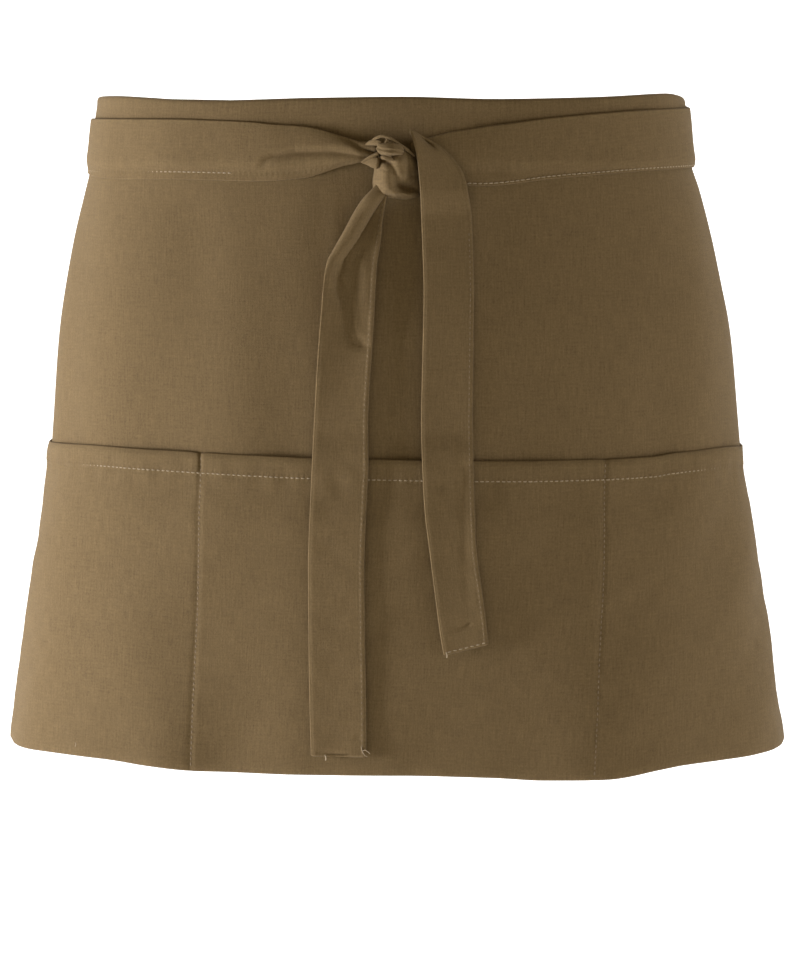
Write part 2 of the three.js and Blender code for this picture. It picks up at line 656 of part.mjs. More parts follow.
// Depth of the body's front at a place in the front view.
function frontDepth(x, z) {
  const sizes = bodySizes(z);
  const share = Math.min(0.98, Math.abs(x - sizes.aside) / sizes.half) ** bodySquareness;
  return sizes.front * (1 - share) ** (1 / bodySquareness);
}

// Offset of the outermost cloth under a hanging end: the ties, then the skirt, then the pockets.
function layersUnder(x, z) {
  const step = pocketTopHem * 1.5;
  const tieFace = bandThickness + clearance + tieThickness;
  const tieFoot = -tieWidth;
  const skirtFace = skirtOuter + drape(x, z);
  const upper = THREE.MathUtils.lerp(skirtFace, tieFace, ease(tieFoot - step, tieFoot, z));
  const pocket = pocketFace(x, Math.min(z, pocketTop));
  return THREE.MathUtils.lerp(pocket, upper, ease(pocketTop, pocketTop + step, z));
}

// A hanging end of a tie, from the knot down. slant is how much lower its left bottom corner
// hangs than its right one.
function tail(name, table, anchor, top, length, slant) {
  const lifts = ["lift", "ridge", "middle", "valley", "far"];
  const rows = [];
  for (let row = 0; row <= tailRows; row += 1) {
    const down = row / tailRows;
    const left = anchor + smooth(table, "down", "left", down) * tieWidth;
    const right = anchor + smooth(table, "down", "right", down) * tieWidth;
    rows.push(
      lifts.map((column, index) => {
        const across = index / (lifts.length - 1);
        const x = THREE.MathUtils.lerp(left, right, across);
        const z = top - length * down - (0.5 - across) * slant * down ** 4;
        const lift = smooth(table, "down", column, down) * knotDepth + clearance;
        const depth = frontDepth(x, z) + layersUnder(x, z) + lift;
        return {
          inner: new THREE.Vector3(x, -depth, z),
          outer: new THREE.Vector3(x, -depth - tieThickness, z),
        };
      }),
    );
  }
  return named(name, wallGeometry(rows));
}

// How proud the knot stands at a place given as shares of its size from its middle.
function knotProud(across, up) {
  const rolls = rollTable.map((roll) => {
    const start = new THREE.Vector2(roll.fromAcross * knotWidth, roll.fromUp * knotHeight);
    const end = new THREE.Vector2(roll.toAcross * knotWidth, roll.toUp * knotHeight);
    const place = new THREE.Vector2(across * knotWidth, up * knotHeight);
    const run = end.clone().sub(start);
    const along = THREE.MathUtils.clamp(place.clone().sub(start).dot(run) / run.lengthSq(), 0, 1);
    const away = place.distanceTo(start.addScaledVector(run, along)) / (roll.girth * knotWidth);
    return roll.proud * Math.sqrt(Math.max(0, 1 - away * away));
  });
  return knotDepth * Math.max(knotFloor, ...rolls);
}

// The knot: rolls of cloth over a flat back that lies against the waistband and the skirt.
function knot() {
  const rows = [];
  for (let row = 0; row <= knotRows; row += 1) {
    const down = row / knotRows;
    const z = knotZ + knotHeight * (0.5 - down);
    const left = smooth(knotTable, "down", "left", down);
    const right = smooth(knotTable, "down", "right", down);
    const points = [];
    for (let column = 0; column <= knotColumns; column += 1) {
      const across = THREE.MathUtils.lerp(left, right, column / knotColumns);
      const x = knotAside + across * knotWidth;
      const back = frontDepth(0, Math.min(z, bandBottom)) + bandThickness + clearance;
      points.push({
        inner: new THREE.Vector3(x, -back, z),
        outer: new THREE.Vector3(x, -back - knotProud(across, 0.5 - down), z),
      });
    }
    rows.push(points);
  }
  return named("knot", wallGeometry(rows));
}

const apron = new THREE.Group();
apron.add(skirtPanel(), pocketPanel(), waistband());
apron.add(tie("tie_left", -1, leftTieTable), tie("tie_right", 1, rightTieTable));
apron.add(knot());
const knotTop = knotZ + knotHeight / 2;
const knotFoot = knotZ - knotHeight / 2;
apron.add(tail("tail_left", leftTailTable, knotAside, knotFoot - clearance, leftTailLength, 0));
apron.add(
  tail("tail_right", rightTailTable, knotRight, knotTop, rightTailLength, tailEndSlant),
);

export default apron;
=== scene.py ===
"""A short waist apron in its worn shape: skirt, three pockets, waistband, crossing ties and a front knot.

Everything is in metres, +Z up, with the wearer facing -Y. The origin is the middle of the waist,
halfway up the waistband. "Arc" is a distance along a level section of the body, from the middle of
the front, positive towards +X, and "down" is a distance below the top of the waistband.
"""

from __future__ import annotations

import logging
import math
from dataclasses import dataclass, field, replace
from enum import Enum
from typing import Any, Callable, Sequence

import bpy
import numpy as np
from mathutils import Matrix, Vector

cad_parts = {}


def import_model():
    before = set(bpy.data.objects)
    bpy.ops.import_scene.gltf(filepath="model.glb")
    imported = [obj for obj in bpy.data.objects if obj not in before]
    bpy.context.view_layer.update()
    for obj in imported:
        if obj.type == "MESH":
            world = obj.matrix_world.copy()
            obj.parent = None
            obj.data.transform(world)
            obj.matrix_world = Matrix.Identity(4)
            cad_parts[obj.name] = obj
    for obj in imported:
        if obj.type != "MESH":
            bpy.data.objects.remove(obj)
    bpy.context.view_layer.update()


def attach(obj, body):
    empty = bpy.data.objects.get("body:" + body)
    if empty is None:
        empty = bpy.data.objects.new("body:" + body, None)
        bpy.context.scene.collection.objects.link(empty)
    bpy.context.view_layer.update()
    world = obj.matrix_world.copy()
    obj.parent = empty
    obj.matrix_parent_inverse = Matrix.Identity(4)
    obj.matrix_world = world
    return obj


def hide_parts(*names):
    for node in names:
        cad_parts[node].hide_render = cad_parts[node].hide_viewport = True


LOG = logging.getLogger("apron")
Array = np.ndarray
MM = 0.001


# Curves and small maths


def smooth_curve(places: Sequence[float], values: Sequence[float], at: Array) -> Array:
    """Read a cubic through (places, values) whose slopes are harmonic means, so it never overshoots.

    Args:
        places: rising places of the known values.
        values: the known values.
        at: where the curve is wanted.

    Returns:
        The curve's values at those places, held level past both ends.
    """
    x = np.asarray(places, float)
    y = np.asarray(values, float)
    slopes = np.diff(y) / np.diff(x)
    tangents = np.empty_like(y)
    tangents[0] = slopes[0]
    tangents[-1] = slopes[-1]
    before, after = slopes[:-1], slopes[1:]
    same_way = before * after > 0
    total = np.where(same_way, before + after, 1.0)
    tangents[1:-1] = np.where(same_way, 2 * before * after / total, 0.0)
    inside = np.clip(at, x[0], x[-1])
    row = np.clip(np.searchsorted(x, inside, side="right") - 1, 0, len(x) - 2)
    span = x[row + 1] - x[row]
    t = (inside - x[row]) / span
    start = 2 * t**3 - 3 * t**2 + 1
    return (
        start * y[row]
        + (1 - start) * y[row + 1]
        + (t**3 - 2 * t**2 + t) * span * tangents[row]
        + (t**3 - t**2) * span * tangents[row + 1]
    )


def ease(low: float, high: float, value: Array) -> Array:
    """Give 0 below low, 1 above high and the smooth step 3t^2 - 2t^3 between them."""
    t = np.clip((np.asarray(value, float) - low) / (high - low), 0.0, 1.0)
    return t * t * (3 - 2 * t)


def bump(value: Array, centre: float, spread: float) -> Array:
    """Give a bell curve, exp(-((value - centre) / spread)^2)."""
    return np.exp(-(((value - centre) / spread) ** 2))


def wobble(along: Array, across: Array, seed: int, wave: float, count: int = 5) -> Array:
    """Add up a few sine waves of random direction, phase and length, for cloth that is never quite flat.

    Args:
        along: first place, in metres.
        across: second place, in metres.
        seed: fixes the random waves.
        wave: the typical wave length, in metres.
        count: how many waves are added.

    Returns:
        Values of about -1 to 1.
    """
    rng = np.random.default_rng(seed)
    total = np.zeros(np.broadcast(along, across).shape)
    for _ in range(count):
        angle = rng.uniform(0, math.tau)
        length = wave * rng.uniform(0.7, 1.6)
        phase = rng.uniform(0, math.tau)
        total += np.sin((along * math.cos(angle) + across * math.sin(angle)) * math.tau / length + phase)
    return total / math.sqrt(count)


@dataclass(frozen=True)
class Wave:
    """Faint waves of one size: their seed, length and height, and how much their second place is squeezed."""

    seed: int
    length: float
    height: float
    squeeze: float = 1.0


def ripples(waves: Sequence[Wave], along: Array, across: Array, seed: int = 0) -> Array:
    """Add up faint waves, each its height times a wobble of its length; seeds are counted from seed."""
    total = 0.0
    for wave in waves:
        total = total + wobble(along, across * wave.squeeze, seed + wave.seed, wave.length) * wave.height
    return total


def unit(vectors: Array) -> Array:
    """Scale vectors to length one."""
    return vectors / np.maximum(np.linalg.norm(vectors, axis=-1, keepdims=True), 1e-12)


# The body that is dressed


@dataclass(frozen=True)
class BodyForm:
    """The body inside the cloth: a squarish oval section that widens from the waist to the hem."""

    waist_width: float = 0.2896
    waist_front: float = 0.092
    waist_back: float = 0.090
    hem_width: float = 0.3854
    hem_front: float = 0.105
    hem_back: float = 0.112
    squareness: float = 2.4
    waist_aside: float = -0.003
    top: float = 0.015
    length: float = 0.330
    down_shares: tuple[float, ...] = (0, 0.05, 0.09, 0.147, 0.24, 0.364, 0.5, 0.61, 0.7, 0.824, 1)
    flare: tuple[float, ...] = (0, 0.0437, 0.079, 0.186, 0.338, 0.486, 0.56, 0.621, 0.716, 0.833, 1)
    front_share: tuple[float, ...] = (0, 0.055, 0.1, 0.28, 0.58, 0.9, 1.02, 1.04, 1.03, 1.01, 1)
    back_share: tuple[float, ...] = (0, 0.045, 0.08, 0.2, 0.5, 0.85, 1.05, 1.1, 1.08, 1.04, 1)
    aside_share: tuple[float, ...] = (1, 1, 1, 0.72, 0.5, 0.33, 0.22, 0.2, 0.12, 0.08, 0.05)
    widest_share: float = 0.98

    def read(self, shares: tuple[float, ...], z: Array) -> Array:
        """Read a row of shares at a height."""
        return smooth_curve(self.down_shares, shares, (self.top - z) / self.length)

    def sizes(self, z: Array) -> tuple[Array, Array, Array]:
        """Give the half width, front depth and back depth at a height, each between its waist and its hem."""
        half = (self.waist_width + (self.hem_width - self.waist_width) * self.read(self.flare, z)) / 2
        front = self.waist_front + (self.hem_front - self.waist_front) * self.read(self.front_share, z)
        back = self.waist_back + (self.hem_back - self.waist_back) * self.read(self.back_share, z)
        return half, front, back

    def aside(self, z: Array) -> Array:
        """Give how far the body's middle is off to the side at a height."""
        return self.waist_aside * self.read(self.aside_share, z)

    def radius(self, angle: Array, z: Array) -> Array:
        """Give the section's distance from its axis: ((sin/half)^n + (cos/depth)^n)^(-1/n)."""
        half, front, back = self.sizes(z)
        depth = np.where(np.cos(angle) > 0, front, back)
        n = self.squareness
        return (np.abs(np.sin(angle) / half) ** n + np.abs(np.cos(angle) / depth) ** n) ** (-1 / n)

    def at_angle(self, angle: Array, z: Array, offset: Array) -> Array:
        """Give points at an angle from the front and a height, moved out along the section's normal."""
        nudge = 0.002
        radius = self.radius(angle, z)
        slope = (self.radius(angle + nudge, z) - self.radius(angle - nudge, z)) / (2 * nudge)
        sin, cos = np.sin(angle), np.cos(angle)
        tangent_x = slope * sin + radius * cos
        tangent_y = radius * sin - slope * cos
        size = np.hypot(tangent_x, tangent_y)
        x = self.aside(z) + radius * sin + tangent_y / size * offset
        y = -radius * cos - tangent_x / size * offset
        return np.stack([x, y, np.broadcast_to(z, x.shape)], axis=-1)

    def depth_at(self, x: Array, z: Array) -> Array:
        """Give how far forward the body's front is at a place in the front view."""
        half, front, _ = self.sizes(z)
        share = np.minimum(self.widest_share, np.abs(x - self.aside(z)) / half) ** self.squareness
        return front * (1 - share) ** (1 / self.squareness)


class ArcMap:
    """Turns an arc and a height into an angle, by reading a table of arc lengths worked out once."""

    LEVELS = 161
    SHARES = 513
    ANGLES = 1441

    def __init__(self, body: BodyForm, lowest: float = -0.36, highest: float = 0.04) -> None:
        """Work the table out.

        Args:
            body: the form whose level sections are measured.
            lowest: the lowest height of the table.
            highest: the highest height of the table.
        """
        self.body = body
        self.levels = np.linspace(lowest, highest, self.LEVELS)
        self.shares = np.linspace(0, 1, self.SHARES)
        angles = np.linspace(0, math.pi, self.ANGLES)
        radii = body.radius(angles[None, :], self.levels[:, None])
        x, y = radii * np.sin(angles), radii * np.cos(angles)
        steps = np.hypot(np.diff(x, axis=1), np.diff(y, axis=1))
        arcs = np.concatenate([np.zeros((len(self.levels), 1)), np.cumsum(steps, axis=1)], axis=1)
        self.half_girths = arcs[:, -1]
        self.table = np.stack([np.interp(self.shares, row / row[-1], angles) for row in arcs])

    def half_girth(self, z: Array) -> Array:
        """Give the arc from the middle of the front to the middle of the back at a height."""
        return np.interp(z, self.levels, self.half_girths)

    def angle(self, arc: Array, z: Array) -> Array:
        """Give the angle at an arc and a height, past the middle of the back too.

        Args:
            arc: distance along the section, signed.
            z: the height.

        Returns:
            The angle from the front, read between the table's rows and columns.
        """
        arc, z = np.broadcast_arrays(np.asarray(arc, float), np.asarray(z, float))
        share = np.abs(arc) / self.half_girth(z)
        past = share > 1
        share = np.clip(np.where(past, 2 - share, share), 0, 1)
        level = np.clip((z - self.levels[0]) / (self.levels[1] - self.levels[0]), 0, len(self.levels) - 1.001)
        place = np.clip(share * (len(self.shares) - 1), 0, len(self.shares) - 1.001)
        i, j = level.astype(int), place.astype(int)
        a, b = level - i, place - j
        low = self.table[i, j] * (1 - b) + self.table[i, j + 1] * b
        high = self.table[i + 1, j] * (1 - b) + self.table[i + 1, j + 1] * b
        angle = low * (1 - a) + high * a
        return np.sign(arc) * np.where(past, math.tau - angle, angle)


@dataclass(frozen=True)
class Cut:
    """The cut of the apron and the places of its layers off the body."""

    pocket_width: float = 0.214
    pocket_count: int = 3
    pocket_height: float = 0.153
    pocket_hem: float = 0.010
    hem_turn: float = 0.008
    side_hem: float = 0.009
    band_height: float = 0.030
    seam_in_band: float = 0.010
    tie_width: float = 0.029
    cloth: float = 0.001
    tie_thickness: float = 0.0016
    clearance: float = 0.0004
    stitch: float = 0.00265

    @property
    def width(self) -> float:
        """Give the flat width of the apron."""
        return self.pocket_width * self.pocket_count

    @property
    def skirt_offset(self) -> float:
        """Give how far the middle of the skirt's cloth is off the body."""
        return 1.5 * self.cloth + self.clearance

    @property
    def band_thickness(self) -> float:
        """Give how thick the folded waistband is with the skirt inside it."""
        return 3 * self.cloth + 2 * self.clearance


@dataclass(frozen=True)
class Fold:
    """A soft fold down the cloth: its place, half width and depth, and where it starts and is full."""

    arc: float
    spread: float
    depth: float
    starts: float
    full: float


FOLDS: tuple[Fold, ...] = (
    Fold(arc=0.107, spread=0.045, depth=0.009, starts=0.181, full=0.33),
    Fold(arc=-0.119, spread=0.019, depth=0.0031, starts=0.238, full=0.33),
    Fold(arc=-0.083, spread=0.032, depth=-0.0036, starts=0.198, full=0.33),
    Fold(arc=-0.289, spread=0.032, depth=0.0045, starts=0.115, full=0.33),
    Fold(arc=0.289, spread=0.032, depth=0.0054, starts=0.132, full=0.33),
    Fold(arc=0.013, spread=0.058, depth=0.0018, starts=0.099, full=0.297),
)


def drape(arc: Array, down: Array) -> Array:
    """Add up the soft folds: depth times a bell curve across, times a smooth step down the cloth."""
    arc, down = np.broadcast_arrays(np.asarray(arc, float), np.asarray(down, float))
    total = np.zeros(arc.shape)
    for fold in FOLDS:
        total += fold.depth * bump(arc, fold.arc, fold.spread) * ease(fold.starts, fold.full, down)
    return total


@dataclass(frozen=True)
class RideUp:
    """How the pockets' top edge and the hem rise and fall along the apron.

    shares are places along the apron's width, from its middle, and the others are shares of rise.
    """

    rise: float = 0.0045
    shares: tuple[float, ...] = (
        -0.5, -0.33, -0.28, -0.235, -0.19, -0.15, -0.07, 0, 0.07, 0.11, 0.155, 0.2, 0.22, 0.27, 0.33, 0.5
    )
    pocket: tuple[float, ...] = (
        0.3, 0.6, 0.8, 0.93, 0.8, 0.62, 0.2, 0, -0.17, -0.2, -0.16, -0.08, 0.2, 0.45, 0.1, -0.2
    )
    hem: tuple[float, ...] = (
        0.4, 0.6, 0.7, 0.6, 0.12, -0.35, -0.45, -0.45, -0.68, -1, -1, -0.2, 0.08, 0.2, 0.25, 0
    )

    def at(self, arc: Array, z: Array, cut: Cut, body: BodyForm) -> Array:
        """Give the rise at an arc and a height: a smooth step down to the pockets' edge, then straight."""
        across = arc / cut.width
        at_pocket = self.rise * smooth_curve(self.shares, self.pocket, across)
        at_hem = self.rise * smooth_curve(self.shares, self.hem, across)
        foot = body.top - body.length
        edge = foot + cut.pocket_height
        below = (edge - z) / cut.pocket_height
        above = at_pocket * ease(0, 1, (body.top - cut.band_height - z) / (body.top - cut.band_height - edge))
        return np.where(z >= edge, above, at_pocket + (at_hem - at_pocket) * below)


# Meshes


def mesh_object(name: str, points: Array, faces: Array, uvs: Array | None = None) -> bpy.types.Object:
    """Put points and quads or triangles into a mesh with smooth faces and add it to the scene.

    Args:
        name: the piece's name.
        points: (n, 3) places in metres.
        faces: (m, 3) or (m, 4) point numbers, turning anticlockwise seen from outside.
        uvs: (n, 2) cloth places in metres, for the UV map named "cloth".

    Returns:
        The new object, at the origin.
    """
    mesh = bpy.data.meshes.new(name)
    sides = faces.shape[1]
    mesh.vertices.add(len(points))
    mesh.vertices.foreach_set("co", np.ascontiguousarray(points, np.float32).ravel())
    mesh.loops.add(faces.size)
    mesh.loops.foreach_set("vertex_index", np.ascontiguousarray(faces, np.int32).ravel())
    mesh.polygons.add(len(faces))
    mesh.polygons.foreach_set("loop_start", np.arange(0, faces.size, sides, dtype=np.int32))
    mesh.polygons.foreach_set("use_smooth", np.ones(len(faces), bool))
    if uvs is not None:
        layer = mesh.uv_layers.new(name="cloth")
        layer.data.foreach_set("uv", np.ascontiguousarray(uvs[faces.ravel()], np.float32).ravel())
    mesh.update(calc_edges=True)
    mesh.validate()
    piece = bpy.data.objects.new(name, mesh)
    bpy.context.scene.collection.objects.link(piece)
    return piece


def grid_normals(points: Array) -> Array:
    """Give unit normals of a grid of points, the cross product of its steps along and across."""
    across = np.gradient(points, axis=1)
    along = np.gradient(points, axis=0)
    return unit(np.cross(across, along))


def shell(name: str, middle: Array, thickness: Array | float, uv: Array) -> bpy.types.Object:
    """Make a closed cloth sheet with round edges from the grid of its middle surface.

    The face is the middle plus half the thickness along the normal, the back is the middle minus it,
    and one ring of points half a thickness outside the edge rounds the rim.

    Args:
        name: the piece's name.
        middle: (rows, columns, 3) points of the middle surface.
        thickness: the cloth's thickness, one number or one for each point.
        uv: (rows, columns, 2) cloth places in metres.

    Returns:
        The sheet's object.
    """
    rows, columns = middle.shape[:2]
    normal = grid_normals(middle)
    half = np.broadcast_to(np.asarray(thickness, float), (rows, columns))[..., None] / 2
    face, back = middle + normal * half, middle - normal * half
    index = np.arange(rows * columns).reshape(rows, columns)
    quads = np.stack([index[:-1, :-1], index[:-1, 1:], index[1:, 1:], index[1:, :-1]], axis=-1).reshape(-1, 4)
    loop = np.concatenate([index[0, :-1], index[:-1, -1], index[-1, :0:-1], index[:0:-1, 0]])
    inner = np.concatenate([index[1, :-1], index[:-1, -2], index[-2, :0:-1], index[:0:-1, 1]])
    flat_middle = middle.reshape(-1, 3)
    outwards = unit(flat_middle[loop] - flat_middle[inner])
    rim = flat_middle[loop] + outwards * half.reshape(-1, 1)[loop]
    count = rows * columns
    ring = 2 * count + np.arange(len(loop))
    following = np.roll(ring, -1)
    next_loop = np.roll(loop, -1)
    front_rim = np.stack([loop, ring, following, next_loop], axis=-1)
    back_rim = np.stack([ring, loop + count, next_loop + count, following], axis=-1)
    faces = np.concatenate([quads, (quads + count)[:, ::-1], front_rim, back_rim])
    points = np.concatenate([face.reshape(-1, 3), back.reshape(-1, 3), rim])
    flat_uv = uv.reshape(-1, 2)
    uvs = np.concatenate([flat_uv, flat_uv, flat_uv[loop]])
    return mesh_object(name, points, faces, uvs)


def fine_lines(
    low: float, high: float, step: float, close: Sequence[float] = (),
    reach: float = 0.004, fine: float = 0.0008,
) -> Array:
    """Give rising grid lines a step apart, with closer ones around the chosen places.

    Args:
        low: the first line.
        high: the last line.
        step: the usual distance between lines.
        close: places that get closer lines.
        reach: how far to each side of a place the closer lines go.
        fine: the distance between the closer lines.

    Returns:
        The lines' places.
    """
    plain = np.linspace(low, high, max(2, round((high - low) / step) + 1))
    near = [np.arange(place - reach, place + reach + fine / 2, fine) for place in close]
    keep = plain
    for place in close:
        keep = keep[np.abs(keep - place) > reach + fine]
    lines = np.unique(np.round(np.concatenate([keep, [low, high], *near]), 6))
    return lines[(lines >= low) & (lines <= high)]


Surface = Callable[[Array, Array], Array]


def read_along(run: Array, values: Array, at: Array) -> Array:
    """Read (n, 3) values, known at rising distances, at other distances by straight lines between them."""
    return np.stack([np.interp(at, run, values[:, k]) for k in range(values.shape[1])], axis=-1)


def through(places: Array, values: Array, at: Array) -> Array:
    """Read a cubic through (n, m) values whose slopes are central differences, so it swings freely.

    Args:
        places: rising places of the known values.
        values: (n, m) known values.
        at: (k,) places where the curve is wanted.

    Returns:
        (k, m) values.
    """
    slopes = np.gradient(values, places, axis=0)
    row = np.clip(np.searchsorted(places, at, side="right") - 1, 0, len(places) - 2)
    span = (places[row + 1] - places[row])[:, None]
    t = ((at - places[row]) / span[:, 0])[:, None]
    start = 2 * t**3 - 3 * t**2 + 1
    return (
        start * values[row]
        + (1 - start) * values[row + 1]
        + (t**3 - 2 * t**2 + t) * span * slopes[row]
        + (t**3 - t**2) * span * slopes[row + 1]
    )


def frame_on(surface: Surface, along: Array, across: Array, lift: float) -> tuple[Array, Array]:
    """Give points at a height above a surface, and its normals, by small steps both ways.

    Args:
        surface: gives points for two arrays of cloth places.
        along: first cloth places.
        across: second cloth places.
        lift: height above the surface, in metres.

    Returns:
        The raised points and the unit normals.
    """
    step = 0.0004
    first = surface(along + step, across) - surface(along - step, across)
    second = surface(along, across + step) - surface(along, across - step)
    normal = unit(np.cross(first, second))
    return surface(along, across) + normal * lift, normal


@dataclass(frozen=True)
class Thread:
    """A sewing thread: the pitch of its stitches, the length of each and its thickness."""

    pitch: float = Cut.stitch
    length: float = 0.0021
    width: float = 0.00066
    height: float = 0.0003
    stray: float = 0.05
    uneven: tuple[float, float] = (0.92, 1.05)

    def sew(self, name: str, seams: Sequence[tuple[Array, Array]], seed: int = 1) -> bpy.types.Object:
        """Lay stitches, small low rounded bars, along lines on the cloth.

        Each bar is a six-sided tube of five rings whose radius follows sqrt(1 - t^4) along it, and whose
        middle is arched: it lies (0.5 - 0.9 t^2) of the thread's height above its line.

        Args:
            name: the piece's name.
            seams: for each line, its (n, 3) points and its (n, 3) normals.
            seed: fixes the small random turns of the stitches.

        Returns:
            One object with all the stitches.
        """
        places, tangents, normals = (np.concatenate(parts) for parts in zip(*map(self._spaced, seams)))
        rng = np.random.default_rng(seed)
        sideways = unit(np.cross(normals, tangents))
        turn = rng.normal(0, self.stray, len(places))[:, None]
        tangents = unit(tangents + sideways * turn)
        sideways = unit(np.cross(normals, tangents))
        along = np.array([-1.0, -0.72, 0.0, 0.72, 1.0])
        swell = np.array([0.25, 0.85, 1.0, 0.85, 0.25])
        angles = np.arange(6) * math.tau / 6
        length = self.length * rng.uniform(*self.uneven, len(places))
        shape = (len(places), len(along), len(angles))
        offset_t = np.broadcast_to(along[None, :, None] * length[:, None, None] / 2, shape)
        offset_s = np.broadcast_to(swell[None, :, None] * np.cos(angles) * self.width / 2, shape)
        arch = 0.5 - 0.9 * along[None, :, None] ** 2
        offset_n = swell[None, :, None] * np.sin(angles) * self.height / 2 + arch * self.height
        points = (
            places[:, None, None, :]
            + offset_t[..., None] * tangents[:, None, None, :]
            + offset_s[..., None] * sideways[:, None, None, :]
            + np.broadcast_to(offset_n, shape)[..., None] * normals[:, None, None, :]
        )
        return mesh_object(name, points.reshape(-1, 3), tube_faces(len(places), len(along), len(angles)))

    def _spaced(self, seam: tuple[Array, Array]) -> tuple[Array, Array, Array]:
        """Give the places, directions and normals of stitches at the pitch along one line."""
        points, normals = seam
        steps = np.linalg.norm(np.diff(points, axis=0), axis=1)
        run = np.concatenate([[0], np.cumsum(steps)])
        count = max(2, int(run[-1] / self.pitch))
        at = (np.arange(count) + 0.5) * run[-1] / count
        ahead, behind = (read_along(run, points, at + way * self.pitch / 4) for way in (1, -1))
        return read_along(run, points, at), unit(ahead - behind), unit(read_along(run, normals, at))


def tube_faces(count: int, rings: int, sides: int) -> Array:
    """Give the quads of many tubes of the same rings and sides, with their ends closed.

    Args:
        count: how many tubes.
        rings: rings of points in each.
        sides: points in each ring, an even number.

    Returns:
        (n, 4) point numbers, each end closed by quads across the ring.
    """
    ring, side = np.meshgrid(np.arange(rings - 1), np.arange(sides), indexing="ij")
    this, following = ring * sides + side, ring * sides + (side + 1) % sides
    walls = np.stack([this, following, following + sides, this + sides], axis=-1).reshape(-1, 4)
    strip = np.arange(sides // 2 - 1)
    cap = np.stack([strip, strip + 1, sides - strip - 2, sides - strip - 1], axis=-1)
    one = np.concatenate([walls, cap[:, ::-1], cap + (rings - 1) * sides])
    start = np.arange(count)[:, None, None] * rings * sides
    return (one[None] + start).reshape(-1, 4)


def tube(name: str, path: Array, radius: Array, sides: int = 8) -> bpy.types.Object:
    """Make a closed round tube whose rings stand square to a path and turn with it as little as they can.

    Args:
        name: the piece's name.
        path: (n, 3) points of the middle line.
        radius: one radius, or one for each point.
        sides: points in each ring, an even number.

    Returns:
        The tube's object.
    """
    tangent = unit(np.gradient(path, axis=0))
    off_the_path = np.array([0.31, 0.2, 0.93])
    first = unit(np.cross(tangent, off_the_path))
    second = np.cross(tangent, first)
    angles = np.arange(sides) * math.tau / sides
    spread = np.broadcast_to(np.asarray(radius, float), len(path))[:, None, None]
    cos, sin = np.cos(angles)[None, :, None], np.sin(angles)[None, :, None]
    points = path[:, None, :] + spread * (cos * first[:, None, :] + sin * second[:, None, :])
    return mesh_object(name, points.reshape(-1, 3), tube_faces(1, len(path), sides))


# Shaders


class Value:
    """A shader socket that holds a number, so that maths on it is written as an expression."""

    def __init__(self, tree: bpy.types.NodeTree, socket: bpy.types.NodeSocket) -> None:
        """Wrap a socket of a node tree."""
        self.tree = tree
        self.socket = socket

    def maths(self, operation: str, *others: "Value | float", swap: bool = False) -> "Value":
        """Add a Math node for this value and the others.

        Args:
            operation: the Math node's operation.
            others: the other values or numbers.
            swap: put this value last.

        Returns:
            The node's result.
        """
        node = self.tree.nodes.new("ShaderNodeMath")
        node.operation = operation
        parts = [*others, self] if swap else [self, *others]
        for slot, part in zip(node.inputs, parts):
            if isinstance(part, Value):
                self.tree.links.new(part.socket, slot)
            else:
                slot.default_value = part
        return Value(self.tree, node.outputs[0])

    def __add__(self, other: "Value | float") -> "Value":
        """Add."""
        return self.maths("ADD", other)

    __radd__ = __add__

    def __sub__(self, other: "Value | float") -> "Value":
        """Take away."""
        return self.maths("SUBTRACT", other)

    def __rsub__(self, other: float) -> "Value":
        """Take away from a number."""
        return self.maths("SUBTRACT", other, swap=True)

    def __mul__(self, other: "Value | float") -> "Value":
        """Multiply."""
        return self.maths("MULTIPLY", other)

    __rmul__ = __mul__

    def __truediv__(self, other: "Value | float") -> "Value":
        """Divide."""
        return self.maths("DIVIDE", other)

    def __rtruediv__(self, other: float) -> "Value":
        """Divide a number by this value."""
        return self.maths("DIVIDE", other, swap=True)

    def wave(self) -> "Value":
        """Give the sine of this angle."""
        return self.maths("SINE")

    def bell(self, centre: float, spread: float) -> "Value":
        """Give 1 at the centre and less away from it, as 1 / (1 + ((value - centre) / spread)^4)."""
        reach = (self - centre) * (1 / spread)
        square = reach * reach
        return 1.0 / (square * square + 1.0)


